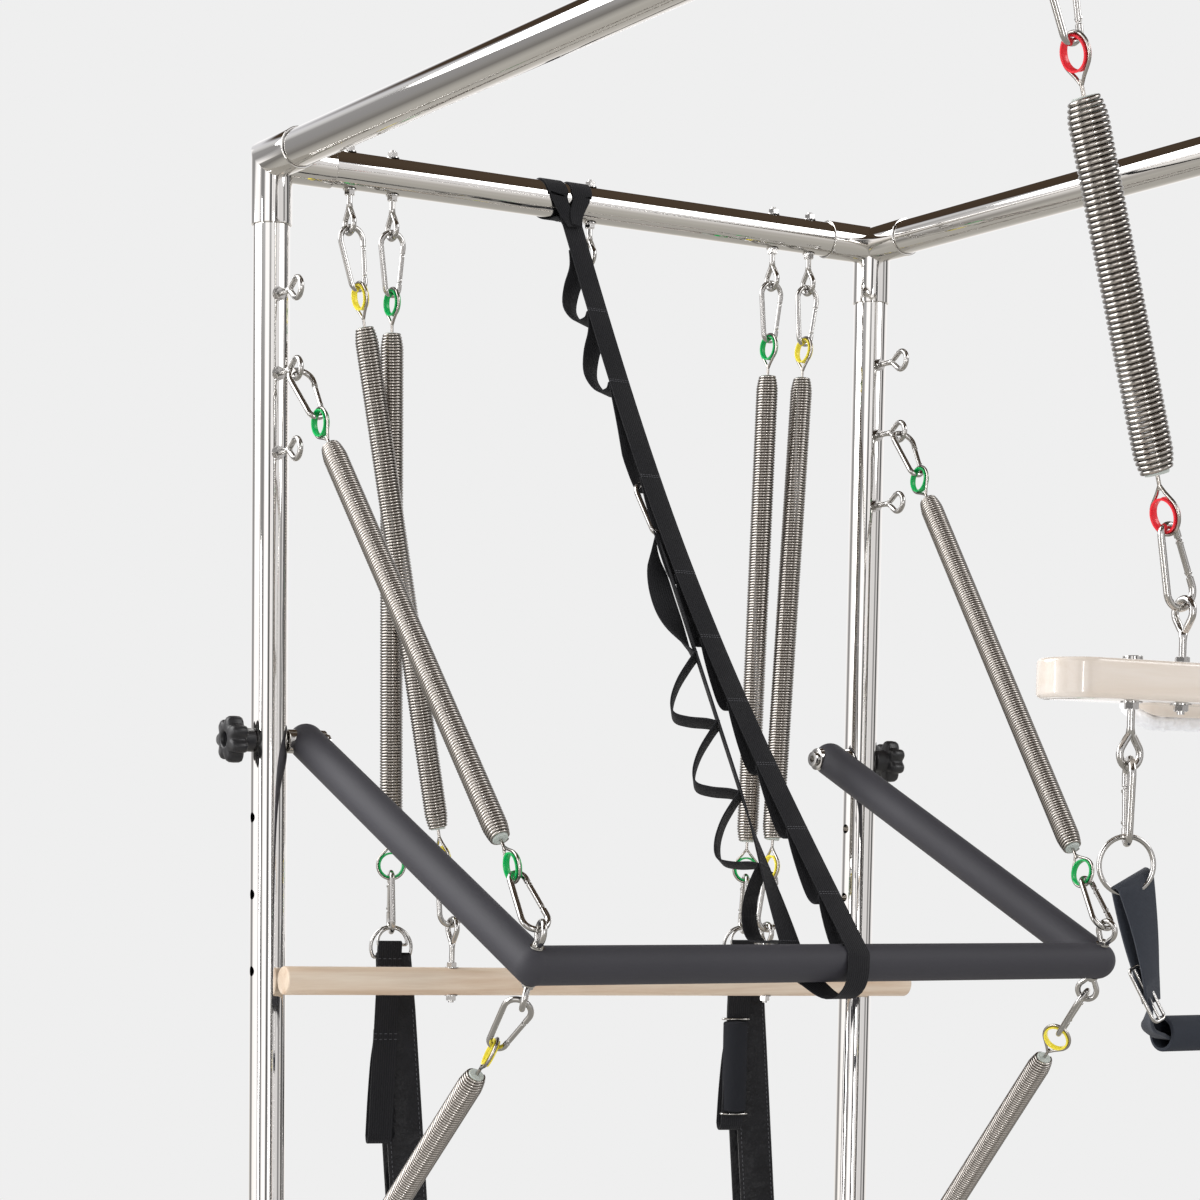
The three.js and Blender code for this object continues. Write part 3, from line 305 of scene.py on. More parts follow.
def rounded(profile, radius, steps):
    """A turned profile with its inner corners rounded off."""
    out = [profile[0]]
    for before, here, after in zip(*([Vector(p) for p in profile[k:]] for k in range(3))):
        reach = min(radius, (here - before).length / 2.01, (after - here).length / 2.01)
        start = here + (before - here).normalized() * reach
        end = here + (after - here).normalized() * reach
        for k in range(steps + 1):
            t = k / steps
            out.append(tuple((1 - t) ** 2 * start + 2 * t * (1 - t) * here + t ** 2 * end))
    return out + [profile[-1]]


def rounded_box(half_width, half_height, radius, steps=5):
    """The outline of a flat box with rounded corners."""
    out = []
    for k, (x, z) in enumerate(((1, 1), (-1, 1), (-1, -1), (1, -1))):
        for i in range(steps):
            angle = math.pi / 2 * (k + i / (steps - 1))
            out.append((x * (half_width - radius) + radius * math.cos(angle),
                        z * (half_height - radius) + radius * math.sin(angle)))
    return out


def ease(a, b, share):
    """From a to b, slow at both ends."""
    share = share * share * (3 - 2 * share)
    return a + (b - a) * share


def edges_mesh(name, lines):
    """A mesh of loose edges along each line of points."""
    points, edges = [], []
    for line in lines:
        start = len(points)
        points += [tuple(p) for p in line]
        edges += [(start + k, start + k + 1) for k in range(len(line) - 1)]
    mesh = bpy.data.meshes.new(name)
    mesh.from_pydata(points, edges, [])
    return mesh


def axes_matrix(*axes):
    """A turn whose columns are the three axes."""
    return Matrix(axes).transposed().to_4x4()


def link(mesh, name):
    thing = bpy.data.objects.new(name, mesh)
    bpy.context.scene.collection.objects.link(thing)
    return thing


def baked(thing):
    """The object's mesh after its modifiers, with the object and its modifiers removed."""
    bpy.context.view_layer.update()
    evaluated = thing.evaluated_get(bpy.context.evaluated_depsgraph_get())
    mesh = bpy.data.meshes.new_from_object(evaluated)
    bpy.data.objects.remove(thing)
    return mesh


def joined_solids(name, base, others, way):
    """One solid joined to, met with or cut by others."""
    for i, other in enumerate(others):
        body = link(base if isinstance(base, bpy.types.Mesh) else base.mesh(name), name)
        tool = link(other.mesh(f"{name}_{i}"), f"{name}_{i}")
        boolean = body.modifiers.new("join", "BOOLEAN")
        boolean.operation, boolean.solver, boolean.object = way, "EXACT", tool
        base = baked(body)
        bpy.data.objects.remove(tool)
    return base


def piece(name, shape, finishes, body, stands_for=None, sharp=38):
    """A finished piece on its body, in place of the node that it stands for.

    `finishes` names the finishes with spaces between. In place of a body, a piece may be
    given two bodies and the places where a bend would start and end; these are not used,
    and such a piece is put on no body.
    """
    finishes = finishes.split()
    if isinstance(shape, Skin):
        mesh = shape.mesh(name)
    else:
        mesh = shape
        mesh.name = name
        mesh.materials.clear()
    for finish_name in finishes:
        mesh.materials.append(FINISHES[finish_name])
    mesh.shade_smooth()
    mesh.set_sharp_from_angle(angle=math.radians(sharp))
    thing = link(mesh, name)
    if isinstance(body, str):
        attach(thing, body)
    else:
        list(body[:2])
        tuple(body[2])
        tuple(body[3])
        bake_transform(thing)
    if stands_for:
        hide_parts(stands_for)
    return thing


# ---- Materials ------------------------------------------------------------------


def node(tree, kind, links=None, **settings):
    """A new node with its settings, and with links or values for its inputs."""
    made = tree.nodes.new(kind)
    for key, value in settings.items():
        setattr(made, key, value)
    for key, value in (links or {}).items():
        if isinstance(value, bpy.types.NodeSocket):
            tree.links.new(value, made.inputs[key])
        else:
            made.inputs[key].default_value = value
    return made


def maths(tree, operation, a, b=0.0, clamp=False):
    made = node(tree, "ShaderNodeMath", {0: a, 1: b}, operation=operation, use_clamp=clamp)
    return made.outputs[0]


def blend_colours(tree, factor, a, b, way="MIX"):
    mix = node(tree, "ShaderNodeMix", data_type="RGBA", blend_type=way)
    for key, value in ((0, factor), (6, a), (7, b)):
        if isinstance(value, bpy.types.NodeSocket):
            tree.links.new(value, mix.inputs[key])
        else:
            mix.inputs[key].default_value = value
    return mix.outputs[2]


def shaded(tree, colour, shade):
    """A colour made lighter or darker by a value."""
    tone = node(tree, "ShaderNodeCombineColor", {0: shade, 1: shade, 2: shade})
    return blend_colours(tree, 1.0, colour, tone.outputs[0], "MULTIPLY")


def noise(tree, where, scale, detail, **more):
    made = node(tree, "ShaderNodeTexNoise",
                {"Vector": where, "Scale": scale, "Detail": detail, **more})
    return made.outputs[0]


def on_object(tree):
    return node(tree, "ShaderNodeTexCoord").outputs["Object"]


def bump(tree, strength, distance, height):
    made = node(tree, "ShaderNodeBump",
                {"Strength": strength, "Distance": distance, "Height": height})
    return made.outputs[0]


def ramp(tree, share, tones):
    made = node(tree, "ShaderNodeValToRGB", {0: share})
    stops = made.color_ramp.elements
    for spot, (position, tone) in zip((stops[0], stops[1]), (tones[0], tones[-1])):
        spot.position, spot.color = position, (*tone, 1)
    for position, tone in tones[1:-1]:
        stops.new(position).color = (*tone, 1)
    return made.outputs[0]


OUTPUT_KINDS = {"Colour": "Color", "Roughness": "Float", "Normal": "Vector"}


def shader_group(name, inputs):
    """A shader node group with its named inputs: (name, default)."""
    tree = bpy.data.node_groups.new(name, "ShaderNodeTree")
    for label, default in inputs:
        kind = "Float" if isinstance(default, float) else "Color"
        socket = tree.interface.new_socket(label, in_out="INPUT", socket_type=f"NodeSocket{kind}")
        socket.default_value = default
    return tree, tree.nodes.new("NodeGroupInput").outputs


def put_out(tree, **sockets):
    """Ends a shader group with its named outputs."""
    for label in sockets:
        tree.interface.new_socket(label, in_out="OUTPUT",
                                  socket_type=f"NodeSocket{OUTPUT_KINDS[label]}")
    outside = tree.nodes.new("NodeGroupOutput")
    for label, socket in sockets.items():
        tree.links.new(socket, outside.inputs[label])
    return tree


def wipe_marks():
    """Fine wipe marks of polished metal: a roughness and a normal."""
    tree, given = shader_group("wipe_marks", [("Scale", 40.0), ("Roughness", 0.1),
                                              ("Spread", 0.05), ("Depth", 0.02)])
    where = on_object(tree)
    broad = noise(tree, where, given["Scale"], 4.0, Roughness=0.6)
    fine = noise(tree, where, 900.0, 1.0)
    spread = maths(tree, "MULTIPLY", maths(tree, "SUBTRACT", broad, 0.5), given["Spread"])
    return put_out(tree, Roughness=maths(tree, "ADD", spread, given["Roughness"], clamp=True),
                   Normal=bump(tree, given["Depth"], 0.0004, fine))


def speckle():
    """The fine orange peel of powder coat, foam and moulded plastic."""
    tree, given = shader_group("speckle", [("Colour", (0.05, 0.05, 0.06, 1)), ("Scale", 700.0),
                                           ("Shade", 0.2), ("Depth", 0.3)])
    where = on_object(tree)
    grain = noise(tree, where, given["Scale"], 3.0, Roughness=0.65)
    cloud = noise(tree, where, 9.0, 2.0)
    both = maths(tree, "ADD", maths(tree, "MULTIPLY", grain, 0.55),
                 maths(tree, "MULTIPLY", cloud, 0.45))
    swing = maths(tree, "MULTIPLY", maths(tree, "SUBTRACT", both, 0.5), given["Shade"])
    shade = maths(tree, "ADD", 1.0, maths(tree, "MULTIPLY", swing, 2.0))
    return put_out(tree, Colour=shaded(tree, given["Colour"], shade),
                   Normal=bump(tree, given["Depth"], 0.0003, grain))


def weave():
    """Webbing: ribs along the strap crossed by fine picks, read from the piece's own map."""
    tree, given = shader_group("weave", [("Colour", (0.02, 0.02, 0.025, 1)), ("Rib", 0.0016),
                                         ("Pick", 0.0011), ("Depth", 0.6), ("Fuzz", 0.25)])
    place = node(tree, "ShaderNodeUVMap", uv_map="along")
    split = node(tree, "ShaderNodeSeparateXYZ", {0: place.outputs[0]})
    ridges = []
    for value, pitch, depth in ((split.outputs[0], given["Rib"], 0.7),
                                (split.outputs[1], given["Pick"], 0.3)):
        turns = maths(tree, "MULTIPLY", maths(tree, "DIVIDE", value, pitch), math.tau)
        wave = maths(tree, "MULTIPLY", maths(tree, "SINE", turns), 0.5)
        ridges.append(maths(tree, "MULTIPLY", maths(tree, "ADD", wave, 0.5), depth))
    height = maths(tree, "ADD", *ridges)
    fuzz = maths(tree, "SUBTRACT", noise(tree, on_object(tree), 260.0, 3.0), 0.5)
    worn = maths(tree, "MULTIPLY", fuzz, given["Fuzz"])
    lit = maths(tree, "ADD", maths(tree, "MULTIPLY", height, 0.5), 0.75)
    rough = maths(tree, "SUBTRACT", 0.92, maths(tree, "MULTIPLY", height, 0.2))
    return put_out(tree, Roughness=rough,
                   Colour=shaded(tree, given["Colour"], maths(tree, "ADD", lit, worn)),
                   Normal=bump(tree, given["Depth"], 0.0005, height))


def wood_grain():
    """Pale wood: long soft figure along X with fine pores."""
    tree, given = shader_group("wood_grain", [
        ("Light", (0.9, 0.8, 0.7, 1)), ("Dark", (0.7, 0.55, 0.4, 1)),
        ("Scale", 30.0), ("Pores", 0.15)])
    where = on_object(tree)
    long, fine = (node(tree, "ShaderNodeMapping", {"Vector": where, "Scale": (stretch, 1.0, 1.0)})
                  for stretch in (0.07, 0.05))
    figure = noise(tree, long.outputs[0], given["Scale"], 5.0, Roughness=0.55, Distortion=0.8)
    pore = noise(tree, fine.outputs[0], 620.0, 2.0)
    share = maths(tree, "ADD", figure, maths(tree, "MULTIPLY", pore, given["Pores"]))
    spread = node(tree, "ShaderNodeMapRange", {0: share, 1: 0.38, 2: 0.80, 3: 0.0, 4: 1.0})
    return put_out(tree, Normal=bump(tree, 0.08, 0.0002, pore),
                   Colour=blend_colours(tree, spread.outputs[0], given["Light"], given["Dark"]))


EFFECTS = {"wipe_marks": wipe_marks, "speckle": speckle, "weave": weave, "wood_grain": wood_grain}
GROUPS = {}
FINISHES = {}


def finish(name, effect, settings, shader):
    """A material: a shared effect that feeds a Principled shader of its own."""
    material = bpy.data.materials.new(name)
    material.use_nodes = True
    tree = material.node_tree
    surface = tree.nodes["Principled BSDF"]
    for key, value in shader.items():
        surface.inputs[key].default_value = value
    made = node(tree, "ShaderNodeGroup", node_tree=GROUPS[effect])
    for key, value in settings.items():
        made.inputs[key].default_value = value
    for socket, target in (("Colour", "Base Color"), ("Roughness", "Roughness"),
                           ("Normal", "Normal")):
        if socket in made.outputs:
            tree.links.new(made.outputs[socket], surface.inputs[target])
    FINISHES[name] = material


def darken_edges(material, colour):
    """Darkens wire that turns away from the eye, as wound coils shade each other there."""
    tree = material.node_tree
    away = node(tree, "ShaderNodeLayerWeight", {"Blend": 0.5}).outputs["Facing"]
    away = maths(tree, "POWER", away, 0.98)
    shade = blend_colours(tree, away, rgba(colour), rgba(colour, 0.04))
    tree.links.new(shade, tree.nodes["Principled BSDF"].inputs["Base Color"])


def rgba(colour, share=1.0):
    return (*(c * share for c in colour), 1.0)


# Metals: colour and its share, then the marks' scale, roughness, spread and depth
METALS = {"polished_tube": ("steel", 1.0, 14.0, 0.035, 0.04, 0.01),
          "bright_zinc": ("steel", 0.70, 90.0, 0.11, 0.08, 0.06),
          "spring_wire": ("spring_steel", 1.0, 120.0, 0.20, 0.08, 0.05)}

# Speckled finishes: colour and its share, then the speckle's scale, shade and depth,
# then the shader's roughness, specular level and sheen
SPECKLED = {"charcoal_coat": ("coat", 1.0, 950.0, 0.22, 0.35, 0.66, 0.6, 0.0),
            "black_plastic": ("plastic", 1.0, 500.0, 0.15, 0.2, 0.36, 0.5, 0.0),
            "foam": ("foam", 1.0, 1400.0, 0.45, 0.7, 0.95, 0.2, 0.0),
            "sling_foam": ("sling", 0.9, 900.0, 0.3, 0.5, 0.8, 0.3, 0.0),
            "plug_plastic": ("plug", 1.0, 400.0, 0.1, 0.1, 0.45, 0.5, 0.0),
            "green_liner": ("green", 1.0, 300.0, 0.06, 0.05, 0.28, 0.5, 0.0),
            "yellow_liner": ("yellow", 1.0, 300.0, 0.06, 0.05, 0.28, 0.5, 0.0),
            "red_liner": ("red", 1.0, 300.0, 0.06, 0.05, 0.28, 0.5, 0.0),
            "padded_cover": ("webbing", 0.8, 90.0, 0.9, 8.0, 0.36, 0.22, 0.0),
            "stitch_thread": ("thread", 1.0, 900.0, 0.2, 0.3, 0.7, 0.5, 0.0),
            "fleece": ("fleece", 1.0, 260.0, 0.35, 1.0, 1.0, 0.5, 0.6)}

# Woven finishes: colour, then rib, pick and depth, then the shader's specular level and sheen
WOVEN = {"webbing": ("webbing", 0.0024, 0.0014, 0.8, 0.25, 0.05),
         "sling_webbing": ("sling", 0.0012, 0.0010, 0.3, 0.4, 0.1)}

# Woods: light and dark colour, then the grain's scale and pores, roughness and coat
WOODS = {"maple": ("maple", "maple_dark", 55.0, 0.22, 0.42, 0.0),
         "lacquered_board": ("board", "board_dark", 42.0, 0.12, 0.3, 1.0)}


def make_finishes(colours):
    """Every finish of the tower, from the colours that the panel holds."""
    GROUPS.update({name: make() for name, make in EFFECTS.items()})

    def paint(colour, share=1.0):
        return rgba(getattr(colours, colour), share)

    for name, (colour, share, scale, rough, spread, depth) in METALS.items():
        finish(name, "wipe_marks",
               {"Scale": scale, "Roughness": rough, "Spread": spread, "Depth": depth},
               {"Base Color": paint(colour, share), "Metallic": 1.0})
    darken_edges(FINISHES["spring_wire"], colours.spring_steel)
    for name, (colour, share, scale, shade, depth, rough, level, sheen) in SPECKLED.items():
        finish(name, "speckle",
               {"Colour": paint(colour, share), "Scale": scale, "Shade": shade, "Depth": depth},
               {"Roughness": rough, "Specular IOR Level": level, "Sheen Weight": sheen,
                "Sheen Roughness": 0.6 if sheen else 0.5})
    for name, (colour, rib, pick, depth, level, sheen) in WOVEN.items():
        finish(name, "weave",
               {"Colour": paint(colour), "Rib": rib, "Pick": pick, "Depth": depth},
               {"Specular IOR Level": level, "Sheen Weight": sheen, "Sheen Roughness": 0.5})
    for name, (light, dark, scale, pores, rough, coat) in WOODS.items():
        finish(name, "wood_grain",
               {"Light": paint(light), "Dark": paint(dark), "Scale": scale, "Pores": pores},
               {"Roughness": rough, "Coat Weight": coat, "Coat Roughness": 0.04 if coat else 0.03})


# ---- What repeats ---------------------------------------------------------------


def geometry_tree(name, inputs):
    """A geometry node tree with named inputs: (name, kind, default)."""
    tree = bpy.data.node_groups.new(name, "GeometryNodeTree")
    tree.interface.new_socket("Geometry", in_out="INPUT", socket_type="NodeSocketGeometry")
    for label, kind, default in (*inputs, ("Material", "Material", None)):
        socket = tree.interface.new_socket(label, in_out="INPUT", socket_type=f"NodeSocket{kind}")
        if default is not None:
            socket.default_value = default
    tree.interface.new_socket("Geometry", in_out="OUTPUT", socket_type="NodeSocketGeometry")
    return tree, tree.nodes.new("NodeGroupInput").outputs


def end_tree(tree, given, shape):
    """Realize Instances and Set Material, the last two nodes of each tree."""
    real = node(tree, "GeometryNodeRealizeInstances", {0: shape})
    painted = node(tree, "GeometryNodeSetMaterial", {"Geometry": real.outputs[0],
                                                     "Material": given["Material"]})
    tree.links.new(painted.outputs[0], tree.nodes.new("NodeGroupOutput").inputs[0])
    return tree


def on_points(tree, points, instance, aim):
    """A copy of an instance at each point, with its Z turned to the point's aim."""
    turn = node(tree, "FunctionNodeAlignEulerToVector", {"Vector": aim}, axis="Z")
    placed = node(tree, "GeometryNodeInstanceOnPoints", {
        "Points": points, "Instance": instance, "Rotation": turn.outputs[0]})
    return placed.outputs[0]


def coil_tree():
    """A coil that hangs from z = 0, wound close, with both ends drawn in."""
    tree, given = geometry_tree("wound_coil", [
        ("Turns", "Float", 100.0), ("Length", "Float", 0.5), ("Radius", "Float", 0.011),
        ("Wire radius", "Float", 0.0015), ("Taper", "Float", 0.009),
        ("End share", "Float", 0.7), ("Steps a turn", "Int", 20), ("Wire sides", "Int", 8)])
    spiral = node(tree, "GeometryNodeCurveSpiral", {
        "Resolution": given["Steps a turn"], "Rotations": given["Turns"],
        "Start Radius": given["Radius"], "End Radius": given["Radius"],
        "Height": given["Length"]})
    position = node(tree, "GeometryNodeInputPosition").outputs[0]
    x, y, height = node(tree, "ShaderNodeSeparateXYZ", {0: position}).outputs
    to_end = maths(tree, "MINIMUM", height, maths(tree, "SUBTRACT", given["Length"], height))
    share = maths(tree, "DIVIDE", to_end, given["Taper"], clamp=True)
    lost = maths(tree, "SUBTRACT", 1.0, given["End share"])
    eased = maths(tree, "MULTIPLY", maths(tree, "POWER", share, 0.6), lost)
    scale = maths(tree, "ADD", given["End share"], eased)
    moved = node(tree, "ShaderNodeCombineXYZ", {
        0: maths(tree, "MULTIPLY", x, scale), 1: maths(tree, "MULTIPLY", y, scale),
        2: maths(tree, "MULTIPLY", height, -1.0)})
    drawn = node(tree, "GeometryNodeSetPosition", {"Geometry": spiral.outputs[0],
                                                   "Position": moved.outputs[0]})
    ring = node(tree, "GeometryNodeCurvePrimitiveCircle", {"Resolution": given["Wire sides"],
                                                           "Radius": given["Wire radius"]})
    upright = node(tree, "GeometryNodeSetCurveNormal", {"Curve": drawn.outputs[0]}, mode="Z_UP")
    wire = node(tree, "GeometryNodeCurveToMesh", {
        "Curve": upright.outputs[0], "Profile Curve": ring.outputs[0], "Fill Caps": True})
    return end_tree(tree, given, wire.outputs[0])


def nut_tree():
    """A hexagon nut on a washer at each point, turned to the point's `aim`."""
    tree, given = geometry_tree("nuts", [
        ("Nut radius", "Float", 0.006), ("Nut height", "Float", 0.0046),
        ("Washer radius", "Float", 0.0072), ("Washer height", "Float", 0.0011),
        ("Stud radius", "Float", 0.003)])
    washer_top, nut_height = given["Washer height"], given["Nut height"]
    nut_top = maths(tree, "ADD", washer_top, nut_height)
    lip = maths(tree, "MULTIPLY", given["Nut radius"], 0.82)
    stud = maths(tree, "MULTIPLY", nut_height, 0.55)
    join = node(tree, "GeometryNodeJoinGeometry")
    for sides, radius, height, base in ((32, given["Washer radius"], washer_top, 0.0),
                                        (6, given["Nut radius"], nut_height, washer_top),
                                        (24, lip, 0.0004, nut_top),
                                        (20, given["Stud radius"], stud, nut_top)):
        disc = node(tree, "GeometryNodeMeshCylinder", {"Vertices": sides, "Radius": radius,
                                                       "Depth": height})
        middle = maths(tree, "ADD", base, maths(tree, "MULTIPLY", height, 0.5))
        lift = node(tree, "ShaderNodeCombineXYZ", {2: middle})
        lifted = node(tree, "GeometryNodeTransform", {"Geometry": disc.outputs["Mesh"],
                                                      "Translation": lift.outputs[0]})
        tree.links.new(lifted.outputs[0], join.inputs[0])
    aim = node(tree, "GeometryNodeInputNamedAttribute", {"Name": "aim"}, data_type="FLOAT_VECTOR")
    points = node(tree, "GeometryNodeMeshToPoints", {"Mesh": given["Geometry"]})
    return end_tree(tree, given, on_points(tree, points.outputs[0], join.outputs[0],
                                           aim.outputs["Attribute"]))


def stitch_tree():
    """Short stitches along each edge of the mesh, a set distance apart."""
    tree, given = geometry_tree("stitches", [
        ("Pitch", "Float", 0.0035), ("Stitch length", "Float", 0.0022),
        ("Thread radius", "Float", 0.00035)])
    line = node(tree, "GeometryNodeMeshToCurve", {"Mesh": given["Geometry"]})
    spots = node(tree, "GeometryNodeResampleCurve", {"Curve": line.outputs[0], 3: given["Pitch"]},
                 mode="LENGTH")
    thread = node(tree, "GeometryNodeMeshCylinder", {
        "Vertices": 8, "Radius": given["Thread radius"], "Depth": given["Stitch length"]})
    tangent = node(tree, "GeometryNodeInputTangent")
    return end_tree(tree, given, on_points(tree, spots.outputs[0], thread.outputs["Mesh"],
                                           tangent.outputs[0]))


TREES = {}


def grown(tree_name, finish_name, values, base=None):
    """The mesh that a tree makes from a base mesh, with its inputs set by identifier."""
    tree = TREES[tree_name]
    thing = link(base or bpy.data.meshes.new("grown"), "grown")
    modifier = thing.modifiers.new("grow", "NODES")
    modifier.node_group = tree
    sockets = {item.name: item.identifier for item in tree.interface.items_tree
               if item.in_out == "INPUT"}
    for key, value in {"Material": FINISHES[finish_name], **values}.items():
        modifier[sockets[key]] = value
    return baked(thing)


def nuts(name, spots, body, sizes, **changed):
    """The nuts at a list of (place, aim), as one piece on one body."""
    base = bpy.data.meshes.new(name)
    base.from_pydata([tuple(at) for at, _ in spots], [], [])
    base.attributes.new("aim", "FLOAT_VECTOR", "POINT").data.foreach_set(
        "vector", [c for _, aim in spots for c in aim])
    values = {key.capitalize().replace("_", " "): changed.get(key, getattr(sizes, key))
              for key in ("nut_radius", "nut_height", "washer_radius")}
    piece(name, grown("nuts", "bright_zinc", values, base), "bright_zinc", body, sharp=30)


# ---- Shapes that more than one piece uses ---------------------------------------


def eye_bolt(skin, spots, root, out, across, surface, reach, sunk=0.0006, nut_ways=(1, -1)):
    """An eye bolt: a shank out of the surface and a rod bent round into a tear drop.

    `spots` gets the places of its nuts, on the eye's side and on the far side, which
    stand in the surface by `sunk`.
    """
    centre = root + out * reach
    side = across.cross(out).normalized()
    spread, steps = math.acos(EYE_R / EYE_APEX), 34
    path = []
    for k in range(steps + 1):
        angle = spread + (math.tau - 2 * spread) * k / steps
        path.append(centre + EYE_R * (-math.cos(angle) * out + math.sin(angle) * side))
    apex = centre - out * EYE_APEX
    path += [path[-1].lerp(apex, 0.5), apex, apex.lerp(path[0], 0.5)]
    skin.tube(path, ROD_R, across, closed=True, sides=18)
    foot, top = surface - 0.004, reach - EYE_APEX
    if top > foot:
        skin.turned([(foot, 0), (foot, ROD_R), (top - 0.004, ROD_R),
                     (top + 0.002, ROD_R * 1.28), (top + 0.005, 0)], root, out, sides=24)
    spots += [(root + out * way * (surface - sunk), out * way) for way in nut_ways]


def snap_hook(matrix):
    """A snap hook under a place: a rod bent in the XZ plane, with a sprung gate."""
    centres = HOOK_LENGTH - HOOK_WIDE_R - HOOK_NARROW_R
    lean = math.asin((HOOK_WIDE_R - HOOK_NARROW_R) / centres)
    path, radii = [], []

    def arc(middle, radius, start, end, steps):
        for k in range(steps + 1):
            angle = start + (end - start) * k / steps
            path.append(Vector((radius * math.cos(angle), 0, middle + radius * math.sin(angle))))
            radii.append(ROD_R)

    def leg(start, end, shares):
        for share, radius in shares:
            path.append(start.lerp(end, share))
            radii.append(radius)

    arc(-HOOK_WIDE_R, HOOK_WIDE_R, -lean, math.pi + lean, 26)
    foot = HOOK_NARROW_R - HOOK_LENGTH
    low = Vector((-HOOK_NARROW_R * math.cos(lean), 0, foot - HOOK_NARROW_R * math.sin(lean)))
    leg(path[-1], low, [(s / 8, ROD_R) for s in range(1, 8)])
    arc(foot, HOOK_NARROW_R, math.pi + lean, math.tau - lean, 18)
    start, end = path[-1], path[0]
    gate, slit = ROD_R * 0.88, ROD_R * 0.66
    leg(start, end, [(0.03, ROD_R), (0.10, ROD_R), (0.115, slit), (0.14, slit), (0.155, gate),
                     (0.3, gate), (0.5, gate), (0.7, gate), (0.80, gate), (0.815, slit),
                     (0.845, slit), (0.86, ROD_R), (0.95, ROD_R)])
    skin = Skin().tube(path, radii, Y, closed=True, sides=16)
    pin = rounded(drum(-0.0034, 0.0034, 0.0012), 0.0004, 2)
    for share in (0.20, 0.77):
        skin.turned(pin, start.lerp(end, share), Y, sides=14)
    return skin.place(matrix)


LINER, PLUG = 1, 2


def end_loop(skin, centre, axis, down):
    """A spring's lined loop: a wire tear drop round a grooved liner."""
    side = axis.cross(down).normalized()
    wire, round_r, apex = 0.0015, 0.0149, LOOP_R + 0.0025 + 0.006
    spread = math.acos(round_r / apex)
    path = [centre + round_r * (math.cos(a) * down + math.sin(a) * side)
            for a in (spread + (math.tau - 2 * spread) * k / 30 for k in range(31))]
    tip = centre + down * apex
    path += [path[-1].lerp(tip, 0.6), tip + down * 0.002, tip.lerp(path[0], 0.4)]
    skin.tube(path, wire, axis, closed=True, sides=12)
    inner, rim, half = LOOP_INSIDE + 0.0009, 0.0137, 0.0032
    profile = [(-half, inner + 0.0003), (-half, rim), (-half + 0.0012, rim),
               (-0.0014, rim - 0.0008), (0.0014, rim - 0.0008), (half - 0.0012, rim),
               (half, rim), (half, inner + 0.0003), (half - 0.0004, inner),
               (-half + 0.0004, inner)]
    skin.turned(profile, centre, axis, sides=40, finish=LINER, closed=True)


def coil_end(skin, at, down, coil):
    """The neck wire and the pale plug in a coil's mouth, from the loop down."""
    skin.turned(drum(-0.012, COIL_TAPER, 0.0016), at, down, sides=14)
    mouth = coil["radius"] * COIL_END_SHARE
    deep = coil["radius"] - coil["wire"]
    skin.turned(rounded([(FIT, 0), (FIT, mouth * 0.94), (0.0035, mouth), (COIL_TAPER, deep),
                         (COIL_TAPER + 0.006, deep), (COIL_TAPER + 0.006, 0)], 0.0006, 3),
                at, down, sides=32, finish=PLUG)


def chain_length(coil):
    return 2 * COIL_START + coil["length"]


def chain_frame(start, direction):
    """The frame of a chain that hangs along its own -Z from its start."""
    up = -direction.normalized()
    across = (X - up * X.dot(up)).normalized()
    return Matrix.Translation(start) @ axes_matrix(across, up.cross(across), up)


def chain(name, start, direction, coil, sizes, liner, upper, lower, foot_across=X):
    """Snap hook, spring, snap hook: three pieces along one line."""
    matrix = chain_frame(start, direction)
    length = coil["length"]
    rod_way = matrix.to_3x3().inverted() @ foot_across
    rod_way = Vector((rod_way.x, rod_way.y, 0)).normalized()
    turn = (Matrix.Rotation(math.pi, 4, "X")
            @ Matrix.Rotation(-math.atan2(rod_way.y, rod_way.x), 4, "Z"))
    for end, depth, way, body in (
            ("top", HOOK_IN_EYE, Matrix.Identity(4), upper),
            ("low", chain_length(coil) - HOOK_IN_EYE, turn, lower)):
        hook = snap_hook(matrix @ Matrix.Translation((0, 0, -depth)) @ way)
        piece(f"snap_hook_{name}_{end}", hook, "bright_zinc", body, f"hook_{name}_{end}")

    coil_top, coil_foot = -COIL_START * Z, -(COIL_START + length) * Z
    mesh = grown("wound_coil", "spring_wire", {
        "Turns": float(round(length / coil["pitch"])), "Length": length - 2 * coil["wire"],
        "Radius": coil["radius"], "Wire radius": coil["wire"], "Taper": COIL_TAPER * 1.6,
        "End share": COIL_END_SHARE, "Steps a turn": sizes.coil_steps})
    spring = Skin().take(mesh, Matrix.Translation((0, 0, -COIL_START - coil["wire"])))
    end_loop(spring, -LINK * Z, X, -Z)
    end_loop(spring, -(COIL_START * 2 + length - LINK) * Z, rod_way, Z)
    coil_end(spring, coil_top, -Z, coil)
    coil_end(spring, coil_foot, Z, coil)
    bend = upper if upper == lower else (upper, lower, matrix @ coil_top, matrix @ coil_foot)
    piece(f"coil_spring_{name}", spring.place(matrix), f"spring_wire {liner}_liner plug_plastic",
          bend, f"spring_{name}", sharp=50)


def plank(length, width, thickness, edge, steps=20):
    """A board with round ends and softened edges, about its own middle."""
    reach = (length - width) / 2
    half = thickness / 2

    def outline(inset, height):
        radius = width / 2 - inset
        ring = []
        for end, start in ((1, -90), (-1, 90)):
            for k in range(steps + 1):
                angle = math.radians(start + 180 * k / steps)
                ring.append(Vector((end * reach + radius * math.cos(angle),
                                    radius * math.sin(angle), height)))
        return ring

    rings = []
    for way in (-1, 1):
        for k in range(7)[::-way]:
            angle = math.pi / 2 * k / 6
            rings.append(outline(edge * (1 - math.sin(angle)),
                                 way * (half - edge * (1 - math.cos(angle)))))
    return Skin().loft(rings)


# ---- Settings -------------------------------------------------------------------


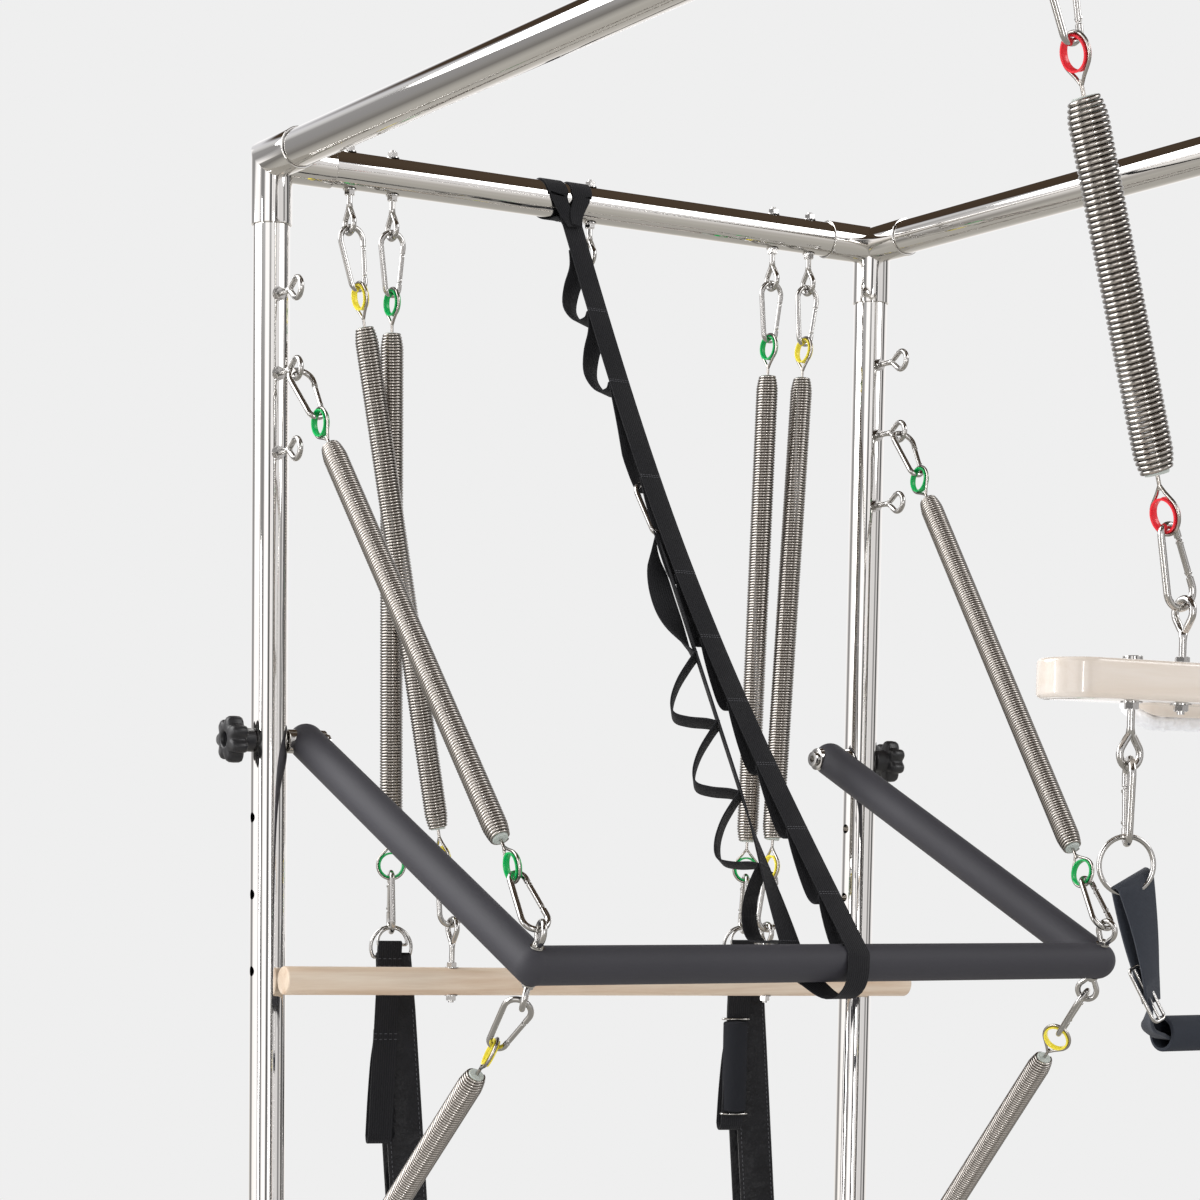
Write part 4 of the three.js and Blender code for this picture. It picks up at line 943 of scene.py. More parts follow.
def length(label, text, value):
    return bpy.props.FloatProperty(name=label, description=text, default=value, min=0.0,
                                   unit="LENGTH", precision=4)


def colour(label, text, value):
    return bpy.props.FloatVectorProperty(name=label, description=text, default=value, size=3,
                                         min=0.0, max=1.0, subtype="COLOR")


class TowerSizes(bpy.types.PropertyGroup):
    """Sizes of the fine work that the solids leave open."""
    lip: length("Sleeve lip", "Rounding at the mouth of a corner sleeve", 0.0008)
    nut_radius: length("Nut radius", "Middle of a nut to a corner", 0.0060)
    nut_height: length("Nut height", "Height of a nut", 0.0046)
    washer_radius: length("Washer radius", "Radius of the washer under a nut", 0.0072)
    stitch_pitch: length("Stitch pitch", "From one stitch to the next", 0.0052)
    board_edge: length("Board edge", "Rounding along a wooden board's edges", 0.004)
    coil_steps: bpy.props.IntProperty(name="Coil steps", default=20, min=8, max=64,
                                      description="Steps in each turn of a spring")


class TowerColours(bpy.types.PropertyGroup):
    """Colours of the tower's finishes and of the studio."""
    steel: colour("Steel", "Polished tube, eye bolts and snap hooks", (0.80, 0.785, 0.765))
    spring_steel: colour("Spring steel", "Wire of the coil springs", (0.68, 0.64, 0.60))
    coat: colour("Charcoal coat", "Powder coat of the push-through bar", (0.036, 0.035, 0.044))
    plastic: colour("Black plastic", "Hand knobs", (0.018, 0.018, 0.020))
    foam: colour("Foam", "Foam grips", (0.018, 0.019, 0.023))
    plug: colour("Plug", "Plugs in the ends of the springs", (0.52, 0.56, 0.52))
    green: colour("Green", "Liner of the medium springs", (0.0, 0.46, 0.10))
    yellow: colour("Yellow", "Liner of the light springs", (1.0, 0.84, 0.06))
    red: colour("Red", "Liner of the heavy springs", (0.85, 0.02, 0.035))
    webbing: colour("Webbing", "Safety strap and loop handles", (0.013, 0.013, 0.015))
    sling: colour("Sling", "Strap of the sling", (0.032, 0.037, 0.049))
    thread: colour("Thread", "Stitching of the padded loops", (0.09, 0.09, 0.10))
    maple: colour("Maple", "Roll-down bar, light", (0.82, 0.70, 0.56))
    maple_dark: colour("Maple figure", "Roll-down bar, dark", (0.64, 0.47, 0.33))
    board: colour("Board", "Lacquered boards, light", (0.86, 0.78, 0.70))
    board_dark: colour("Board figure", "Lacquered boards, dark", (0.78, 0.67, 0.56))
    fleece: colour("Fleece", "Fleece under the back board", (0.93, 0.93, 0.94))
    studio: colour("Studio", "Floor and background", (0.863, 0.863, 0.863))


# ---- Studio ---------------------------------------------------------------------

# Lamps: place, shape, width, height and watts
LAMPS = {"key": ((-2.4, 2.2, 3.6), "DISK", 3.2, 3.2, 105.0),
         "fill": ((2.2, -1.6, 3.6), "DISK", 1.8, 1.8, 34.0),
         "strip_left": ((-3.0, 0.7, 1.5), "RECTANGLE", 0.22, 1.8, 12.0),
         "strip_front": ((-1.45, -3.1, 1.5), "RECTANGLE", 0.26, 1.8, 15.0)}
LAMPS_AIM = Vector((0, 0.3, 1.4))
SENSOR_WIDTH = 36.0

# The grey that every ray but the camera's gets from the world
WORLD_LIGHT = (0.62, 0.62, 0.63, 1)

# What the metal sees from straight down to straight up, as a share of the height
LEVEL_TONES = ((0.0, (0.40, 0.385, 0.36)), (0.22, (0.47, 0.45, 0.41)), (0.34, (0.62, 0.60, 0.56)),
               (0.44, (0.95, 0.94, 0.91)), (0.50, (1.0, 1.0, 1.0)), (0.70, (1.05, 1.05, 1.05)),
               (0.735, (0.75, 0.75, 0.78)), (0.755, (0.062, 0.042, 0.028)),
               (1.0, (0.085, 0.060, 0.040)))

# How bright the walls look in the metal, by the way round from -X in degrees
WALL_TONES = ((0, 0.62), (4, 0.30), (22, 0.28), (29, 1.3), (50, 1.35), (54, 0.4), (57, 0.12),
              (64, 0.12), (67, 1.3), (73, 0.85), (80, 1.2), (84, 0.35), (87, 0.08), (96, 0.08),
              (99, 1.05), (105, 0.80), (130, 0.84), (136, 0.26), (142, 0.28), (148, 0.75),
              (155, 0.85), (161, 0.08), (173, 0.14), (183, 1.0), (216, 1.1), (270, 1.05),
              (286, 0.36), (304, 0.32), (317, 1.3), (351, 1.3), (360, 0.62))
WALL_TINT = 0.98

FLOOR_RINGS = (0.001, 1.5, 3.0, 4.6)
FLOOR_SIDES = 96
FLOOR_LEVEL = -0.0005


class TowerStep:
    """What every step of the build shares."""
    bl_options = {"REGISTER", "UNDO"}


class TOWER_OT_stage(TowerStep, bpy.types.Operator):
    """Sets the camera, the lamps, the world and the floor"""
    bl_idname = "tower.stage"
    bl_label = "Studio"

    def execute(self, context):
        scene = context.scene
        pale = rgba(scene.tower_colours.studio)
        scene.view_settings.view_transform = "Standard"
        camera = link(bpy.data.cameras.new("camera"), "camera")
        camera.data.lens, camera.data.sensor_width = CAMERA_LENS, SENSOR_WIDTH
        camera.data.shift_x, camera.data.shift_y = CAMERA_SHIFT
        camera.data.clip_end = 100
        back = CAMERA_RIGHT.cross(-CAMERA_DOWN).normalized()
        up = back.cross(CAMERA_RIGHT).normalized()
        camera.matrix_world = (Matrix.Translation(CAMERA_AT)
                               @ axes_matrix(CAMERA_RIGHT.normalized(), up, back))
        scene.camera = camera
        for name, (at, shape, width, height, watts) in LAMPS.items():
            lamp = bpy.data.lights.new(name, "AREA")
            lamp.shape, lamp.size, lamp.size_y, lamp.energy = shape, width, height, watts
            holder = link(lamp, name)
            holder.location = at
            holder.rotation_euler = (LAMPS_AIM - Vector(at)).to_track_quat("-Z", "Y").to_euler()
        self.world(scene, pale)
        self.floor(pale)
        return {"FINISHED"}

    def world(self, scene, pale):
        """Pale to the eye; metal sees a brown ceiling, bright and dark walls and a dim floor."""
        scene.world = bpy.data.worlds.new("studio")
        scene.world.use_nodes = True
        tree = scene.world.node_tree
        tree.nodes.clear()
        way = node(tree, "ShaderNodeTexCoord").outputs["Generated"]
        x, y, z = node(tree, "ShaderNodeSeparateXYZ", {0: way}).outputs
        height = maths(tree, "ADD", maths(tree, "MULTIPLY", z, 0.5), 0.5)
        turn = maths(tree, "DIVIDE", maths(tree, "ARCTAN2", y, x), math.tau)
        levels = ramp(tree, height, LEVEL_TONES)
        walls = ramp(tree, maths(tree, "ADD", turn, 0.5), [
            (at / 360, (tone, tone * WALL_TINT, tone * WALL_TINT)) for at, tone in WALL_TONES])
        level = node(tree, "ShaderNodeMapRange", {0: maths(tree, "ABSOLUTE", z), 1: 0.30, 2: 0.50,
                                                  3: 1.0, 4: 0.0})
        walls = blend_colours(tree, level.outputs[0], (1, 1, 1, 1), walls)
        metal = blend_colours(tree, 1.0, levels, walls, "MULTIPLY")
        rays = node(tree, "ShaderNodeLightPath").outputs
        seen = blend_colours(tree, rays["Is Camera Ray"], WORLD_LIGHT, pale)
        seen = blend_colours(tree, rays["Is Glossy Ray"], seen, metal)
        seen = blend_colours(tree, rays["Is Transmission Ray"], seen, pale)
        light = node(tree, "ShaderNodeBackground", {0: seen, 1: 1.0})
        node(tree, "ShaderNodeOutputWorld", {0: light.outputs[0]})

    def floor(self, pale):
        """A round floor that fades out at its rim and isn't mirrored in the metal."""
        skin = Skin()
        rings = [around(Vector((0, 0, FLOOR_LEVEL)), radius, X, Y, FLOOR_SIDES)
                 for radius in FLOOR_RINGS]
        ahead = [(k, (k + 1) % FLOOR_SIDES) for k in range(FLOOR_SIDES)]
        for near, far in zip(rings, rings[1:]):
            skin.add(near + far, [[k, m, FLOOR_SIDES + m, FLOOR_SIDES + k] for k, m in ahead])
        material = bpy.data.materials.new("studio_floor")
        material.use_nodes = True
        tree = material.node_tree
        surface = tree.nodes["Principled BSDF"]
        for key, value in (("Base Color", pale), ("Roughness", 0.9), ("Specular IOR Level", 0.1)):
            surface.inputs[key].default_value = value
        reach = node(tree, "ShaderNodeVectorMath", {0: on_object(tree)}, operation="LENGTH")
        fade = node(tree, "ShaderNodeMapRange", {0: reach.outputs["Value"], 1: 2.2, 2: 4.4,
                                                 3: 1.0, 4: 0.0})
        mirrored = node(tree, "ShaderNodeLightPath").outputs["Is Glossy Ray"]
        shown = maths(tree, "MULTIPLY", fade.outputs[0], maths(tree, "SUBTRACT", 1.0, mirrored))
        tree.links.new(shown, surface.inputs["Alpha"])
        mesh = skin.mesh("studio_floor")
        mesh.materials.append(material)
        link(mesh, "studio_floor")


class TOWER_OT_finishes(TowerStep, bpy.types.Operator):
    """Makes the finishes and the trees that the other steps use"""
    bl_idname = "tower.finishes"
    bl_label = "Finishes"

    def execute(self, context):
        make_finishes(context.scene.tower_colours)
        TREES.update(wound_coil=coil_tree(), nuts=nut_tree(), stitches=stitch_tree())
        return {"FINISHED"}


# ---- Frame ----------------------------------------------------------------------


class TOWER_OT_frame(TowerStep, bpy.types.Operator):
    """Builds the posts, the corner sleeves and the top tubes"""
    bl_idname = "tower.frame"
    bl_label = "Frame of tube"

    def execute(self, context):
        lip = context.scene.tower_sizes.lip
        for end_name, end in ENDS:
            for side_name, side in SIDES:
                foot = Vector((side * HALF_WIDTH, end * HALF_LENGTH, 0))
                self.post(f"{end_name}_{side_name}", foot, end > 0)
                self.corner(f"{end_name}_{side_name}", foot + Z * TOP, side, end, lip)
            self.top(f"top_tube_{end_name}", f"cross_tube_{end_name}",
                     Vector((0, end * HALF_LENGTH, TOP)), X, HALF_WIDTH)
        for side_name, side in SIDES:
            self.top(f"top_rail_{side_name}", f"side_tube_{side_name}",
                     Vector((side * HALF_WIDTH, 0, TOP)), Y, HALF_LENGTH)
        return {"FINISHED"}

    def top(self, name, stands_for, middle, way, half):
        half -= TUBE_START
        skin = Skin().turned(drum(-half, half, TUBE_R), middle, way, sides=96)
        piece(name, skin, "polished_tube", "frame", stands_for)

    def post(self, place, foot, has_pivots):
        """A post with its flange, and on a rear post the spare holes for the pivot."""
        head = TOP - TUBE_START
        profile = [(0, 0), (0, FLANGE_R), (FLANGE_T, FLANGE_R), (FLANGE_T, TUBE_R + 0.003),
                   (FLANGE_T + 0.003, TUBE_R), (head, TUBE_R), (head, 0)]
        tube = Skin().turned(rounded(profile, 0.0012, 3), foot, Z, sides=96)
        hole = drum(-0.002, FLANGE_T + 0.004, FLANGE_HOLE_R)
        cuts = []
        for k in range(4):
            angle = (k + 0.5) / 4 * math.tau
            at = foot + Vector((math.cos(angle), math.sin(angle), 0)) * FLANGE_R * 0.7
            cuts.append(Skin().turned(hole, at, Z, sides=32))
        if has_pivots:
            for k in range(4):
                at = foot + Vector((0, 0, PIVOT.z - k * PIVOT_PITCH))
                cuts.append(Skin().turned(drum(-0.03, 0.03, PIVOT_HOLE_R), at, X, sides=32))
        mesh = joined_solids(f"upright_{place}", tube, cuts, "DIFFERENCE")
        piece(f"upright_{place}", mesh, "polished_tube", "frame", f"post_{place}")

    def corner(self, place, at, side, end, lip):
        """Three sleeves that meet in a mitre, each bored for its tube."""
        ways = [Vector((-side, 0, 0)), Vector((0, -end, 0)), Vector((0, 0, -1))]
        name = f"elbow_{place}"
        lipped = drum(0, SLEEVE_REACH, SLEEVE_R)
        lipped = lipped[:2] + rounded(lipped, lip, 4)[-6:]

        def drums(profile):
            return [Skin().turned(profile, at, way, sides=80) for way in ways]

        first, *rest = drums(drum(-0.03, 0.03, SLEEVE_R))
        body = joined_solids(name, first, rest, "INTERSECT")
        body = joined_solids(name, body, drums(lipped), "UNION")
        bores = drums(drum(TUBE_START, SLEEVE_REACH + 0.004, TUBE_R + FIT))
        body = joined_solids(name, body, bores, "DIFFERENCE")
        piece(name, body, "polished_tube", "frame", f"corner_{place}", sharp=30)


class TOWER_OT_eye_bolts(TowerStep, bpy.types.Operator):
    """Builds the eye bolts of the frame, with the nuts on both sides of the cross tube"""
    bl_idname = "tower.eye_bolts"
    bl_label = "Eye bolts of the frame"

    def execute(self, context):
        skin, spots = Skin(), []
        for x in (-OUTER_EYE_X, -INNER_EYE_X, 0.0, INNER_EYE_X, OUTER_EYE_X):
            eye_bolt(skin, spots, Vector((x, HALF_LENGTH, TOP)), -Z, X, TUBE_R, CROSS_EYE_DROP,
                     sunk=0.0004)
        for _, side in SIDES:
            for depth in POST_EYE_DEPTHS:
                eye_bolt(skin, spots, Vector((side * HALF_WIDTH, HALF_LENGTH, TOP - depth)), -Y, X,
                         TUBE_R, POST_EYE_REACH, sunk=0.0004, nut_ways=(1,))
        piece("frame_eyes", skin, "bright_zinc", "frame", sharp=60)
        nuts("frame_nuts", spots, "frame", context.scene.tower_sizes)
        return {"FINISHED"}


# ---- Push-through bar -----------------------------------------------------------

KNOB_SIDES = 112
KNOB_LOBES = 7
KNOB_DENT = 0.22


def bar_eye(side, level):
    """The root of an eye bolt on the push-through bar, its way out and its ring's axis."""
    way = 1 if level == "top" else -1
    turn = Matrix.Rotation(math.radians(side * BAR_EYE_TURNS[level]), 3, ARM_UP)
    return BAR_CORNER + X * side * ARM_X, ARM_UP * way, turn @ X


class TOWER_OT_push_bar(TowerStep, bpy.types.Operator):
    """Builds the push-through bar with its arms, bushes, pivot bolts and hand knobs"""
    bl_idname = "tower.push_bar"
    bl_label = "Push-through bar"

    def execute(self, context):
        name = "push_bar_coated"
        mesh = Skin().turned(drum(-ARM_X, ARM_X, BAR_R - 0.0004), BAR_CORNER, X, sides=72)
        shifts = [X * side * ARM_X for _, side in SIDES]
        arms = [self.arm(PIVOT + shift, BAR_CORNER + shift) for shift in shifts]
        bore = drum(-0.04, 0.04, PIVOT_HOLE_R)
        bores = [Skin().turned(bore, PIVOT + shift, X, sides=28) for shift in shifts]
        mesh = joined_solids(name, mesh, arms, "UNION")
        mesh = joined_solids(name, mesh, bores, "DIFFERENCE")
        piece(name, mesh, "charcoal_coat", "push_bar", "push_bar", sharp=32)

        bushes, eyes, spots = Skin(), Skin(), []
        gap = HALF_WIDTH - TUBE_R - ARM_X - BAR_R
        for _, side in SIDES:
            for way, proud in ((1, gap - FIT), (-1, BUSH_PROUD)):
                face = BAR_R + proud
                outline = [(0.0, 0.0056), (BAR_R - 0.0014, 0.0056), (face, 0.0056), (face, 0.0118),
                           (face - 0.0005, 0.0126), (BAR_R - 0.004, 0.0128), (0.0, 0.0128)]
                bushes.turned(outline, PIVOT + X * side * ARM_X, X * side * way, closed=True)
            for level in BAR_EYE_TURNS:
                eye_bolt(eyes, spots, *bar_eye(side, level), BAR_R, BAR_EYE_REACH, nut_ways=(1,))
        piece("push_bar_bushes", bushes, "bright_zinc", "push_bar")
        piece("push_bar_eyes", eyes, "bright_zinc", "push_bar", sharp=60)
        nuts("push_bar_collars", spots, "push_bar", context.scene.tower_sizes,
             nut_height=0.0028, washer_radius=0.0068)
        for side_name, side in SIDES:
            self.bolt(side_name, PIVOT + X * side * HALF_WIDTH, X * side)
            self.knob(side_name, PIVOT + X * side * HALF_WIDTH, X * side)
        return {"FINISHED"}

    def arm(self, start, end):
        """A tube with round ends."""
        reach, steps = (end - start).length, 12
        bends = [k / steps * math.pi / 2 for k in range(steps + 1)]
        profile = [(-BAR_R * math.cos(a), BAR_R * math.sin(a)) for a in bends]
        profile += [(reach + BAR_R * math.sin(a), BAR_R * math.cos(a)) for a in bends]
        return Skin().turned(profile, start, (end - start).normalized(), sides=72)

    def bolt(self, side_name, at, out):
        """The pivot bolt, from its socket head inside the arm to its end in the knob."""
        inner = HALF_WIDTH - ARM_X + BAR_R + BUSH_PROUD + FIT
        head = inner + 0.005
        outer = TUBE_R + FIT + KNOB_HUB + KNOB_T * 0.6
        profile = [(-head, 0), (-head, BOLT_HEAD_R), (-inner, BOLT_HEAD_R), (-inner, BOLT_R),
                   (outer - 0.001, BOLT_R), (outer, 0.0042), (outer, 0)]
        screw = Skin().turned(rounded(profile, 0.0006, 3), at, out)
        socket = Skin().turned(drum(-inner - 0.007, -inner - 0.0015, 0.0046), at, out, sides=6)
        mesh = joined_solids(f"pivot_screw_{side_name}", screw, [socket], "DIFFERENCE")
        piece(f"pivot_screw_{side_name}", mesh, "bright_zinc", "frame",
              f"pivot_bolt_{side_name}", sharp=30)

    def knob(self, side_name, centre, out):
        """A lobed head on a round hub, with a dished face."""
        start = TUBE_R + FIT
        face = start + KNOB_HUB + KNOB_T
        base = face - KNOB_T

        def star(at, inset):
            ring = []
            for k in range(KNOB_SIDES):
                angle = k / KNOB_SIDES * math.tau
                dent = 0.5 - 0.5 * math.cos(KNOB_LOBES * angle)
                reach = KNOB_R * (1 - KNOB_DENT * dent ** 1.6) - inset
                ring.append(centre + out * at
                            + reach * (math.cos(angle) * Y + math.sin(angle) * Z))
            return ring

        def circle(at, radius):
            return around(centre + out * at, radius, Y, Z, KNOB_SIDES)

        rings = [outline(origin + at, size) for outline, origin, places in (
            (circle, start, ((0, 0.0054), (0, 0.0115), (0.0008, KNOB_HUB_R))),
            (circle, base, ((-0.0015, KNOB_HUB_R), (0, 0.0132))),
            (star, base, ((0.0004, 0.0035), (0.0016, 0.0012), (0.0040, 0.0002), (0.010, 0.0))),
            (star, face, ((-0.0045, 0.0004), (-0.002, 0.0018), (-0.0006, 0.004))),
            (circle, face, ((0, 0.0125), (0.0004, 0.0105), (0, 0.0085), (-0.001, 0.0078),
                            (-0.005, 0.0074), (-0.0052, 0.0054)))) for at, size in places]
        piece(f"hand_knob_{side_name}", Skin().loft(rings, closed=True), "black_plastic",
              f"knob_{side_name}", f"knob_{side_name}", sharp=50)


# ---- Springs --------------------------------------------------------------------


class TOWER_OT_springs(TowerStep, bpy.types.Operator):
    """Builds every chain of snap hook, coil spring and snap hook"""
    bl_idname = "tower.springs"
    bl_label = "Springs and snap hooks"

    def execute(self, context):
        sizes = context.scene.tower_sizes
        facing = Matrix.Rotation(HANDLE_TURN, 3, "Z") @ Y
        for name, side in SIDES:
            for level, depth, liner in (("top", POST_EYE_DEPTHS[1], "green"),
                                        ("low", POST_EYE_DEPTHS[3], "yellow")):
                post_eye = Vector((side * HALF_WIDTH, HALF_LENGTH - POST_EYE_REACH, TOP - depth))
                root, out, across = bar_eye(side, level)
                run = root + out * BAR_EYE_REACH - post_eye
                coil = {**LONG_COIL, "length": run.length - 2 * COIL_START}
                chain(f"bar_{level}_{name}", post_eye, run, coil, sizes, liner,
                      "frame", "push_bar", across)
            chain(f"roll_{name}", *roll_chain(side), LONG_COIL, sizes, "yellow",
                  "roll_chains", "roll_bar")
            chain(f"handle_{name}", *handle_chain(name, side), LONG_COIL, sizes, "green",
                  f"handle_{name}_chain", f"handle_{name}", facing)
            chain(f"trapeze_{name}", *trapeze_chain(side), HEAVY_COIL, sizes, "red",
                  "trapeze_chains", "trapeze")
        return {"FINISHED"}


def roll_chain(side):
    """The top of a roll-down bar's chain and its run to the bar's eye."""
    top = Vector((side * OUTER_EYE_X, HALF_LENGTH, TOP - CROSS_EYE_DROP))
    across = ROLL_SHIFT + side * ROLL_EYE_HALF - top.x
    drop = math.sqrt(chain_length(LONG_COIL) ** 2 - across ** 2 - ROLL_FORWARD ** 2)
    return top, Vector((across, -ROLL_FORWARD, -drop))


def handle_chain(side_name, side):
    """The top of a loop handle's chain and its run."""
    top = Vector((side * INNER_EYE_X, HALF_LENGTH, TOP - CROSS_EYE_DROP))
    run = Vector((-side * HANDLE_DRIFT, HANDLE_BACK[side_name], -chain_length(LONG_COIL)))
    return top, run


def trapeze_chain(side):
    """The top of a trapeze's chain and its run to the board's eye."""
    top = Vector((side * SLIDER_EYE_X, TRAPEZE_Y, TOP - SLIDER_EYE_DROP))
    inward = side * (BOARD_EYE_X - SLIDER_EYE_X)
    drop = math.sqrt(chain_length(HEAVY_COIL) ** 2 - inward ** 2)
    return top, Vector((inward, 0, -drop))


def board_middle():
    top, run = trapeze_chain(1)
    return Vector((0, TRAPEZE_Y, (top + run).z - BOARD_EYE_REACH))


# ---- Roll-down bar and loop handles ---------------------------------------------


class TOWER_OT_roll_bar(TowerStep, bpy.types.Operator):
    """Builds the wooden roll-down bar with its two eye bolts"""
    bl_idname = "tower.roll_bar"
    bl_label = "Roll-down bar"

    def execute(self, context):
        left, right = (sum(roll_chain(side), Vector()) for _, side in SIDES)
        turn = Matrix.Rotation(math.atan2(left.z - right.z, 2 * ROLL_EYE_HALF), 4, "Y")
        middle = left.lerp(right, 0.5) + turn @ Vector((0, 0, -ROLL_EYE_REACH))
        matrix = Matrix.Translation(middle) @ turn
        dowel = Skin().turned(rounded(drum(-ROLL_HALF, ROLL_HALF, ROLL_R), 0.0025, 5),
                              Vector(), X, sides=72)
        piece("roll_down_dowel", dowel.place(matrix), "maple", "roll_bar", "roll_bar")
        eyes, spots = Skin(), []
        for _, side in SIDES:
            eye_bolt(eyes, spots, X * side * (left - right).length / 2, Z, X, ROLL_R,
                     ROLL_EYE_REACH)
        spots = [(matrix @ at, matrix.to_3x3() @ aim) for at, aim in spots]
        piece("roll_down_eyes", eyes.place(matrix), "bright_zinc", "roll_bar", sharp=60)
        nuts("roll_down_nuts", spots, "roll_bar", context.scene.tower_sizes)
        return {"FINISHED"}


PAD = {"width": 0.040, "thickness": 0.005, "fold": 0.0022, "length": 0.335, "front": -0.006,
       "back": 0.034, "at_top": 0.002, "at_foot": 0.026}
WEB_W = 0.026
WEB_T = 0.0022
WEB_LENGTH = 0.214
WEB_SEWN = 0.095
WEB_X = (-0.0027, -0.0125)
WEB_BACK_Y = 0.008
OUTER_BAR_Z = -0.010
INNER_RING_R = 0.0155
INNER_BAR_Z = 0.0035
INNER_BAR_Y = -0.0085
INNER_ROD_R = 0.0016
GRIP_R = 0.014
GRIP_LENGTH = 0.106

# Finishes of a loop handle, after the webbing
PADDED, RING_METAL, GRIP_FOAM = 1, 2, 3


def hanging_loop(rod_z, rod_d, loop):
    """The places in YZ of a strap that hangs in a loop from a rod, from the rod's back on."""
    top_r = (rod_d + loop["fold"]) / 2
    opened = (loop["back"] - loop["front"] - loop["thickness"]) / 2
    middle = (loop["back"] + loop["front"]) / 2
    foot = -loop["length"] + loop["thickness"] / 2 + opened
    neck = rod_z - (loop["length"] + rod_z) * 0.45
    path = [(top_r * math.cos(a), rod_z + top_r * math.sin(a))
            for a in (k / 8 * math.pi for k in range(9))]
    path += [(ease(-top_r, middle - opened, t), rod_z + (neck - rod_z) * t)
             for t in (k / 10 for k in range(1, 11))]
    path += [(middle - opened, neck + (foot - neck) * k / 12) for k in range(1, 12)]
    path += [(middle + opened * math.cos(a), foot + opened * math.sin(a))
             for a in (math.pi * (1 + k / 14) for k in range(15))]
    path += [(middle + opened, foot + (neck - foot) * k / 12) for k in range(1, 13)]
    path += [(ease(middle + opened, top_r, t), neck + (rod_z - neck) * t)
             for t in (k / 10 for k in range(1, 10))]
    return path


class TOWER_OT_handles(TowerStep, bpy.types.Operator):
    """Builds the two loop handles: rings, webbing, padded loop, stitches and foam grip"""
    bl_idname = "tower.handles"
    bl_label = "Loop handles"

    def execute(self, context):
        pitch = context.scene.tower_sizes.stitch_pitch
        for name, side in SIDES:
            down = chain_length(LONG_COIL) - HOOK_IN_EYE + HOOK_IN_HANDLE
            centre = chain_frame(*handle_chain(name, side)) @ Vector((0, 0, -down))
            matrix = Matrix.Translation(centre) @ Matrix.Rotation(HANDLE_TURN, 4, "Z")
            skin, seams = Skin(), []
            self.d_ring(skin, HANDLE_RING_R, 0.0, OUTER_BAR_Z, (0.0, 0.0), 0.002)
            self.d_ring(skin, INNER_RING_R, 0.0055, INNER_BAR_Z, (-0.0040, INNER_BAR_Y),
                        INNER_ROD_R)
            self.web(skin, seams)
            self.pad(skin, seams)
            if name == "right":
                self.grip(skin)
            piece(f"handle_straps_{name}", skin.place(matrix),
                  "webbing padded_cover bright_zinc foam", f"handle_{name}",
                  f"loop_handle_{name}", sharp=45)
            lines = edges_mesh("handle_seams", [[matrix @ p for p in line] for line in seams])
            sewn = grown("stitches", "stitch_thread",
                         {"Pitch": pitch, "Stitch length": pitch * 0.55}, lines)
            piece(f"handle_stitches_{name}", sewn, "stitch_thread", f"handle_{name}")
        return {"FINISHED"}

    def d_ring(self, skin, radius, middle, bar, lean, rod):
        """A D ring: an arc over a straight bar, leaning from its top to its bar."""
        low = math.asin((bar - middle) / radius)
        path = [(radius * math.cos(a), middle + radius * math.sin(a))
                for a in (low + (math.pi - 2 * low) * k / 36 for k in range(37))]
        end = path[-1][0]
        path += [(end * (1 - 2 * k / 8) * 0.96, bar - 0.0006) for k in range(9)]
        top = middle + radius
        points = [Vector((x, lean[0] + (lean[1] - lean[0]) * (top - z) / (top - bar), z))
                  for x, z in path]
        skin.tube(points, rod, Y, closed=True, sides=12, finish=RING_METAL)

    def web(self, skin, seams):
        """The narrow strap in front: over the inner ring, down, round and sewn on itself."""
        fold = INNER_ROD_R + WEB_T / 2
        front, foot = INNER_BAR_Y - fold, -WEB_LENGTH + 0.012
        path = [(INNER_BAR_Y + fold, -0.026), (INNER_BAR_Y + fold, INNER_BAR_Z)]
        path += [(INNER_BAR_Y + fold * math.cos(a), INNER_BAR_Z + fold * math.sin(a))
                 for a in (math.pi * k / 6 for k in range(1, 6))]
        path += [(front, z) for z in (INNER_BAR_Z, -0.03, -0.10, -0.16, foot)]
        middle, half = (front + WEB_BACK_Y) / 2, (WEB_BACK_Y - front) / 2
        path += [(middle - half * math.cos(a), foot - 0.010 * math.sin(a))
                 for a in (math.pi * k / 8 for k in range(1, 8))]
        path += [(WEB_BACK_Y, foot), (0.0075, -0.165), (0.002, -0.125),
                 (front + WEB_T * 1.1, -WEB_SEWN - 0.008),
                 (front + WEB_T * 1.05, -WEB_SEWN + 0.006)]

        def across(z):
            return WEB_X[0] + (WEB_X[1] - WEB_X[0]) * min(1.0, max(0.0, -z / WEB_LENGTH))

        skin.ribbon(smooth_path([Vector((across(z), y, z)) for y, z in path], 4),
                    X, WEB_W, WEB_T)
        for z in (-WEB_SEWN + 0.002, -WEB_SEWN - 0.004, -0.012, -0.020):
            at = Vector((across(z), front - WEB_T / 2 - 0.0001, z))
            seams.append([at - X * WEB_W * 0.42, at + X * WEB_W * 0.42])

    def pad(self, skin, seams):
        """The padded loop on the outer ring, with a row of stitches along both edges."""
        points, widths, depths = [], [], []
        for y, z in hanging_loop(OUTER_BAR_Z, 0.004, PAD):
            down = max(0.0, min(1.0, z / -PAD["length"]))
            x = PAD["at_top"] + (PAD["at_foot"] - PAD["at_top"]) * down
            points.append(Vector((x, y, z)))
            share = min(1.0, down / 0.2)
            widths.append(PAD["width"] * (0.93 + 0.07 * share))
            depths.append(PAD["fold"] + (PAD["thickness"] - PAD["fold"]) * share)
        skin.ribbon(points, X, widths, depths, closed=True, finish=PADDED)
        rows = list(zip(points, widths, depths))
        for way in (-1, 1):
            for run, out in ((rows[12:30], -Y), (rows[46:64], Y)):
                seams.append([p + X * way * w * 0.41 + out * (d / 2 + 0.0001)
                              for p, w, d in run])

